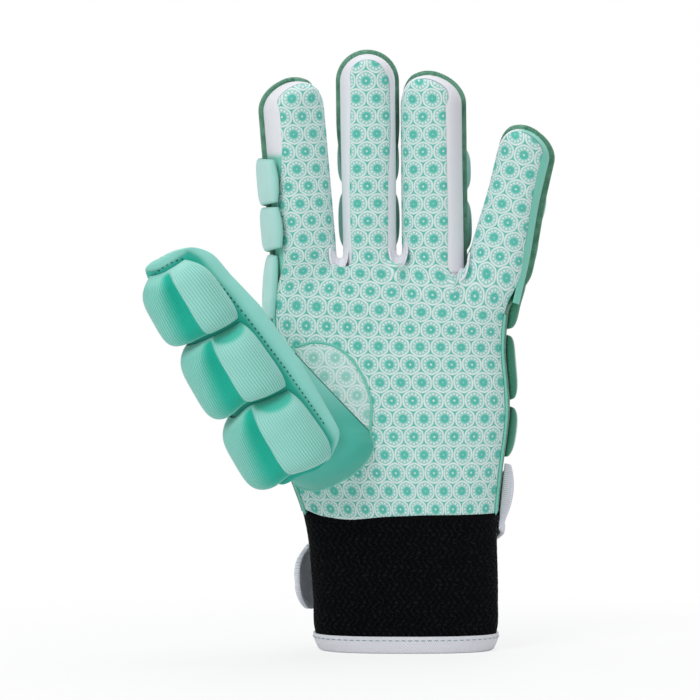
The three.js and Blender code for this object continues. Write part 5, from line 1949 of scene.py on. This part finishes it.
def dress_plate():
    """The guard's stitched plate in two lengths, a slab with a round edge and a sewn channel beside the
    blocks."""
    foot, tip = GUARD_FOOT, THUMB_LENGTH + GUARD_OVERHANG
    meet = (STALL_MEET - foot) / (tip - foot)
    low = 1 - np.cos(np.linspace(0, math.pi / 2, 30))
    head_rows = 1 - low[::-1] * (1 - PLATE_HEAD_START)
    rows = {
        "lower": (np.concatenate([low * PLATE_FOOT_END, np.linspace(PLATE_FOOT_END, meet, 40)[1:]]), 0),
        "upper": (np.concatenate([np.linspace(meet, PLATE_HEAD_START, 50)[:-1], head_rows]), 1),
    }
    across = np.sin(np.linspace(-1, 1, 121) * math.pi / 2)[None, :]
    for name, (q, joint) in rows.items():
        narrow = np.maximum(plate_ends(q, PLATE_FOOT_END, PLATE_HEAD_START), 0.002)[:, None]
        place = lerp(foot, tip, q)[:, None]
        angle, at = guard_spot(across, place, (GUARD_PLATE_LEFT, GUARD_PLATE_RIGHT), narrow)
        radius = lerp(*THUMB_HALF_WIDTH, np.clip(place / THUMB_LENGTH, 0, 1))
        turn = angle + math.pi / 2
        edge = np.where(across < 0, -turn[:, :1], turn[:, -1:])
        near = np.minimum(radius * (edge - np.abs(turn)), np.minimum(place - foot, tip - place) + 0 * turn)
        block_edge = np.where(across < 0, lerp(*GUARD_BLOCK_LEFT, place / THUMB_LENGTH), GUARD_BLOCK_RIGHT[0])
        beyond = radius * (np.abs(turn) - block_edge * np.clip(narrow * 1.05, 0, 1))
        beyond = np.maximum(beyond, place - (tip - GUARD_TIP_TRIM) + 0 * turn)
        channel = CHANNEL.depth * np.exp(-(((beyond - CHANNEL.away) / CHANNEL.width) ** 2))
        thick = GUARD_PLATE + PLATE_PROUD - drop_at_edge(near, PLATE_EDGE_ROLL) - channel
        flare = plate_flare(turn, place) * smooth(np.minimum(place - foot, tip - place) / FLARE_FADE)
        outer = guard_point(angle, at, SEAT_GAP + thick + flare)
        inner = guard_point(angle, at, SEAT_GAP + INNER_FLARE_SHARE * flare)
        points = there_and_back(outer, inner)
        uv = there_and_back(np.stack([angle * 14, at], -1))
        # Painted shade: the cover darkens to teal under the blocks' edge and in the sewn channel beside them.
        teal = np.clip(np.exp(-(((beyond - 0.6) / 1.0) ** 2)) + smooth((0.6 - beyond) / 0.5), 0, 1)
        values = {"teal": there_and_back(teal)}
        piece = cloth(f"guard_plate_{name}_cover", points, PLATE, THUMB_CORE, uv, values, wrap=True)
        thumb_blend(piece, joint)
        nodes = ["guard_plate_lower"] if joint == 0 else ["guard_plate_middle", "guard_plate_tip"]
        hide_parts(*nodes)


WEDGE_SHARES = (0.24, 0.8)  # width of the teal wedge, partly bared ground and partly painted shade, to the left lobe's, at the block's top and foot
RIDGE_WIDTH = 1.1  # of the right lobe's sharp ridge, millimetres
VALLEY_FLOOR_SHARE = 0.5
LEFT_FULL = (7.5, 4.0)  # how full the left lobe's edge is, at the thumb's foot and tip
RIGHT_FULL = 3.2
END_FULL = 4.5
PINCH_SHARE = 0.3
FAN_SHARES = (1.0, 0.62)  # how the left lobe's ribs draw together, at its foot and its top
# painted shade along the blocks' lower and right edges
EDGE_SHADE_SHARE = 0.45
TINGE_SHARE = 0.25


def block_teal(p, q, off, wedge, head):
    """How much of the teal ground shows, and where it is painted shade: in the wedge below the ridge, partly
    bared ground and partly painted shade; in a crescent at the top of the right lobe, painted shade under the
    block above; along the lower and right edges, painted shade; and faintly over the left lobe."""
    # The wedge: teal ground bared below the ridge, and painted shade on that flank.
    ground = smooth(-off / 0.4) * smooth((wedge + off) / (0.7 * wedge)) * smooth((1 - np.abs(q)) / 0.08)
    crest = 0.72 + 0.2 * ((p - 0.5) / 0.5) ** 2
    # Painted shade at the top of the right lobe, under the block above.
    crescent = smooth((q - crest) / 0.12) * smooth(off / 1.5) * (0 if head else 0.85)
    # Painted shade along the block's lower and right edges.
    hem = np.maximum(smooth((-q - 0.88) / 0.12), smooth((p - 0.86) / 0.14)) * EDGE_SHADE_SHARE
    tinge = TINGE_SHARE * smooth(-off / 2)
    return np.clip(np.maximum(np.maximum(ground, crescent), np.maximum(hem, tinge)), 0, 1)


def dress_block(name, places, body, foot=False, head=False):
    """A double block of the guard. Its right lobe is flat with a sharp ridge on its left; below the ridge the
    teal ground shows, with painted shade, in a wedge that widens towards the palm, and from there the left
    lobe rises and falls away."""
    p = np.linspace(-1, 1, 171)[None, :]
    q = np.linspace(-1, 1, 91)[:, None]
    p, q = np.broadcast_arrays(p, q)
    drawn = np.where(q < 0, GUARD_NARROWING[0] * foot, GUARD_NARROWING[1] * head)
    narrow = np.sqrt(1 - drawn * np.abs(q) ** 3) * np.sqrt(1 - 0.12 * q**4)
    place = lerp(places[0], places[1], (q + 1) / 2)
    angle, at = guard_spot(p, place, (GUARD_BLOCK_LEFT, GUARD_BLOCK_RIGHT), narrow)
    share = place / THUMB_LENGTH
    radius = lerp(*THUMB_HALF_WIDTH, share) + 7
    valley = lerp(*GUARD_VALLEY, share) * narrow
    off = (angle + math.pi / 2 - valley) * radius
    left_width = (lerp(*GUARD_BLOCK_LEFT, share) + valley) * radius
    down = (1 - q) / 2
    wedge = left_width * lerp(*WEDGE_SHARES, down**0.8)
    rise = np.where(off < 0, smooth(-off / wedge), smooth(off / RIDGE_WIDTH))
    profile = lerp(VALLEY_FLOOR_SHARE, 1.0, rise)
    pinch = 1 - PINCH_SHARE * np.exp(-((off / 5.0) ** 2)) * smooth((np.abs(q) - 0.7) / 0.3)
    full = np.where(p < 0, lerp(*LEFT_FULL, share), RIGHT_FULL)
    crown = pillow(p, full) * pillow(q, END_FULL) * profile * pinch
    lift = SEAT_GAP + GUARD_PLATE + SEAT_GAP + PAD_RIM + (GUARD_BLOCK_HEIGHT - PAD_RIM) * crown
    outer = guard_point(angle, at, lift)
    inner = guard_point(angle, at, GUARD_PLATE - SEAT_GAP + 0 * p)
    fan = lerp(*FAN_SHARES, (q + 1) / 2)
    rib = np.where(off < 0, off / fan, off + 1.2 * q)
    teal = block_teal(p, q, off, wedge, head)
    shown = smooth((0.98 - np.abs(p)) / 0.12) * smooth((0.97 - np.abs(q)) / 0.15)
    ribs = shown * np.where(off < 0, 1.0, lerp(0.5, 1.0, smooth(p * 1.1 - q * 0.4)))
    points = there_and_back(outer, inner)
    values = {
        "teal": there_and_back(teal, 0 * teal),
        "ribs": there_and_back(ribs, 0 * ribs),
        "knit": np.zeros(points.shape[:2]),
    }
    uv = there_and_back(np.stack([rib, place], -1))
    core = thumb_section(np.array((places[0] + places[1]) / 2)).centre
    piece = cloth(f"guard_block_{name}_foam", points, RIBBED, core, uv, values, wrap=True)
    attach(piece, body)
    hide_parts(f"guard_block_{name}")


# Line of the plate's perforations: degrees from the guard's middle, and distance below the plate's tip
PERFORATIONS = [
    (-40, 7.5), (-26, 4.6), (-6, 3.4), (14, 3.5), (34, 5.2),
    (48, 9.5), (56, 17), (57, 32), (57, 52), (57, 86),
]
HOLE = SimpleNamespace(sink=0.15, pitch=2.1, length=1.1, radius=0.34)


def dress_guard():
    dress_plate()
    half = PAD_GROOVE / 2
    tip = THUMB_LENGTH + GUARD_OVERHANG
    dress_block("lower", (GUARD_FOOT + GUARD_TRIM, THUMB_BENDS[0] - half), "hand", foot=True)
    dress_block("middle", (THUMB_BENDS[0] + half, THUMB_BENDS[1] - half), "thumb_middle")
    dress_block("tip", (THUMB_BENDS[1] + half, tip - GUARD_TIP_TRIM), "thumb_tip", head=True)
    # Dark holes in a row round the plate's tip and down its right side
    keys = spline(PERFORATIONS, 400)
    turn, place = np.radians(keys[:, 0]), tip - keys[:, 1]
    at = place - guard_skew(place) * turn / GUARD_BLOCK_RIGHT[0]
    flare = plate_flare(turn, place) * smooth(keys[:, 1] / FLARE_FADE)
    path = guard_point(turn - math.pi / 2, at, SEAT_GAP + GUARD_PLATE - HOLE.sink + flare)
    parts = np.digitize(at, THUMB_BENDS)
    for k, (name, body) in enumerate((("lower", "hand"), ("middle", "thumb_middle"), ("tip", "thumb_tip"))):
        mine = path[parts == k]
        out = unit(mine - thumb_section(at[parts == k]).centre)
        sizes = (HOLE.pitch, HOLE.length, HOLE.radius)
        row = stitches(f"guard_{name}_perforations", mine, out, *sizes, TEAL_THREAD)
        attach(row, body)


# Stage


CAMERA_AT = np.array([-23.2, -1012.0, 120.8])
CAMERA_FIELD = 0.28  # width that the view takes in, as a share of its distance
CAMERA_SENSOR = 36
CAMERA_REACH = 20  # metres
LAMP_TARGET = (-10, 0, 120)
# Name, place and size in metres, and power in watts
LAMPS = [
    ("key", (-0.9, -1.1, 1.15), 0.9, 13.0),
    ("fill", (1.0, -1.2, 0.6), 1.1, 3.6),
    ("top", (0.1, 0.2, 1.4), 1.0, 7.0),
    ("back", (0.2, 1.3, 0.7), 1.0, 6.5),
]
WHITE = (1, 1, 1, 1)
SKY = (0.97, 0.98, 1.0, 1)
SKY_STRENGTH = 0.33
FLOOR_EDGE = 6.0  # metres from its middle
FLOOR_GREY = (0.86, 0.86, 0.86, 1)
FLOOR_FADE = {"From Min": 0.06, "From Max": 0.3, "To Min": 0.76, "To Max": 1.0}  # glow share over metres


def set_world():
    """Plain white where the camera sees it, and a soft light for everything else."""
    world = bpy.data.worlds.new("studio")
    bpy.context.scene.world = world
    tree = emptied_tree(world)
    camera_ray = add_node(tree, "ShaderNodeLightPath").outputs["Is Camera Ray"]
    seen = add_node(tree, "ShaderNodeBackground", {0: WHITE, 1: 1.0}).outputs[0]
    lit = add_node(tree, "ShaderNodeBackground", {0: SKY, 1: SKY_STRENGTH}).outputs[0]
    mix = add_node(tree, "ShaderNodeMixShader", {0: camera_ray, 1: lit, 2: seen})
    add_node(tree, "ShaderNodeOutputWorld", {0: mix.outputs[0]})


def lay_floor():
    """White paper: seen by the camera it turns to plain white away from the object, and keeps the shadow
    beside it."""
    floor = bpy.data.meshes.new("floor")
    corners = [(x * FLOOR_EDGE, y * FLOOR_EDGE, 0) for x, y in ((-1, -1), (1, -1), (1, 1), (-1, 1))]
    floor.from_pydata(corners, [], [(0, 1, 2, 3)])
    ground = bpy.data.objects.new("floor", floor)
    bpy.context.collection.objects.link(ground)
    paper = bpy.data.materials.new("white_paper")
    tree = emptied_tree(paper)
    camera_ray = add_node(tree, "ShaderNodeLightPath").outputs["Is Camera Ray"]
    where = add_node(tree, "ShaderNodeTexCoord").outputs["Object"]
    away = add_node(tree, "ShaderNodeVectorMath", {0: where}, operation="LENGTH").outputs["Value"]
    inputs = {"Value": away, **FLOOR_FADE}
    fade = add_node(tree, "ShaderNodeMapRange", inputs, interpolation_type="SMOOTHSTEP").outputs[0]
    share = add_node(tree, "ShaderNodeMath", {0: camera_ray, 1: fade}, operation="MULTIPLY").outputs[0]
    diffuse = add_node(tree, "ShaderNodeBsdfDiffuse", {0: FLOOR_GREY}).outputs[0]
    glow = add_node(tree, "ShaderNodeEmission", {0: WHITE}).outputs[0]
    mix = add_node(tree, "ShaderNodeMixShader", {0: share, 1: diffuse, 2: glow})
    add_node(tree, "ShaderNodeOutputMaterial", {0: mix.outputs[0]})
    floor.materials.append(paper)


def hang_lamps():
    """Soft round lamps, turned towards the glove."""
    target = put(LAMP_TARGET)
    for name, at, size, power in LAMPS:
        lamp = bpy.data.lights.new(name, "AREA")
        lamp.energy = power
        lamp.shape = "DISK"
        lamp.size = size
        light = bpy.data.objects.new(name, lamp)
        bpy.context.collection.objects.link(light)
        light.location = at
        light.rotation_mode = "QUATERNION"
        light.rotation_quaternion = Vector(target - np.array(at)).to_track_quat("-Z", "Y")


def set_camera():
    """A level camera at the photograph's distance."""
    camera = bpy.data.cameras.new("camera")
    camera.sensor_width = CAMERA_SENSOR
    camera.lens = CAMERA_SENSOR / CAMERA_FIELD
    camera.clip_end = CAMERA_REACH
    eye = bpy.data.objects.new("camera", camera)
    bpy.context.collection.objects.link(eye)
    eye.location = put(CAMERA_AT)
    eye.rotation_euler = (math.pi / 2, 0, 0)
    bpy.context.scene.camera = eye
    bpy.context.scene.view_settings.view_transform = "Standard"


set_world()
lay_floor()
hang_lamps()
set_camera()
dress_palm()
dress_back()
for finger_name in FINGERS:
    print_start = dress_print_column(finger_name)
    dress_print_tip(finger_name, print_start)
    dress_walls_tip(finger_name)
    dress_walls_base(finger_name)
    dress_knit_column(finger_name)
    dress_knit_tip(finger_name)
    dress_finger_pads(finger_name)
for slot_between in GAPS:
    dress_web(slot_between)
dress_hand_pads()
dress_cuff()
dress_binding()
dress_strap()
dress_loop_patch()
dress_stall()
dress_gusset()
dress_guard()
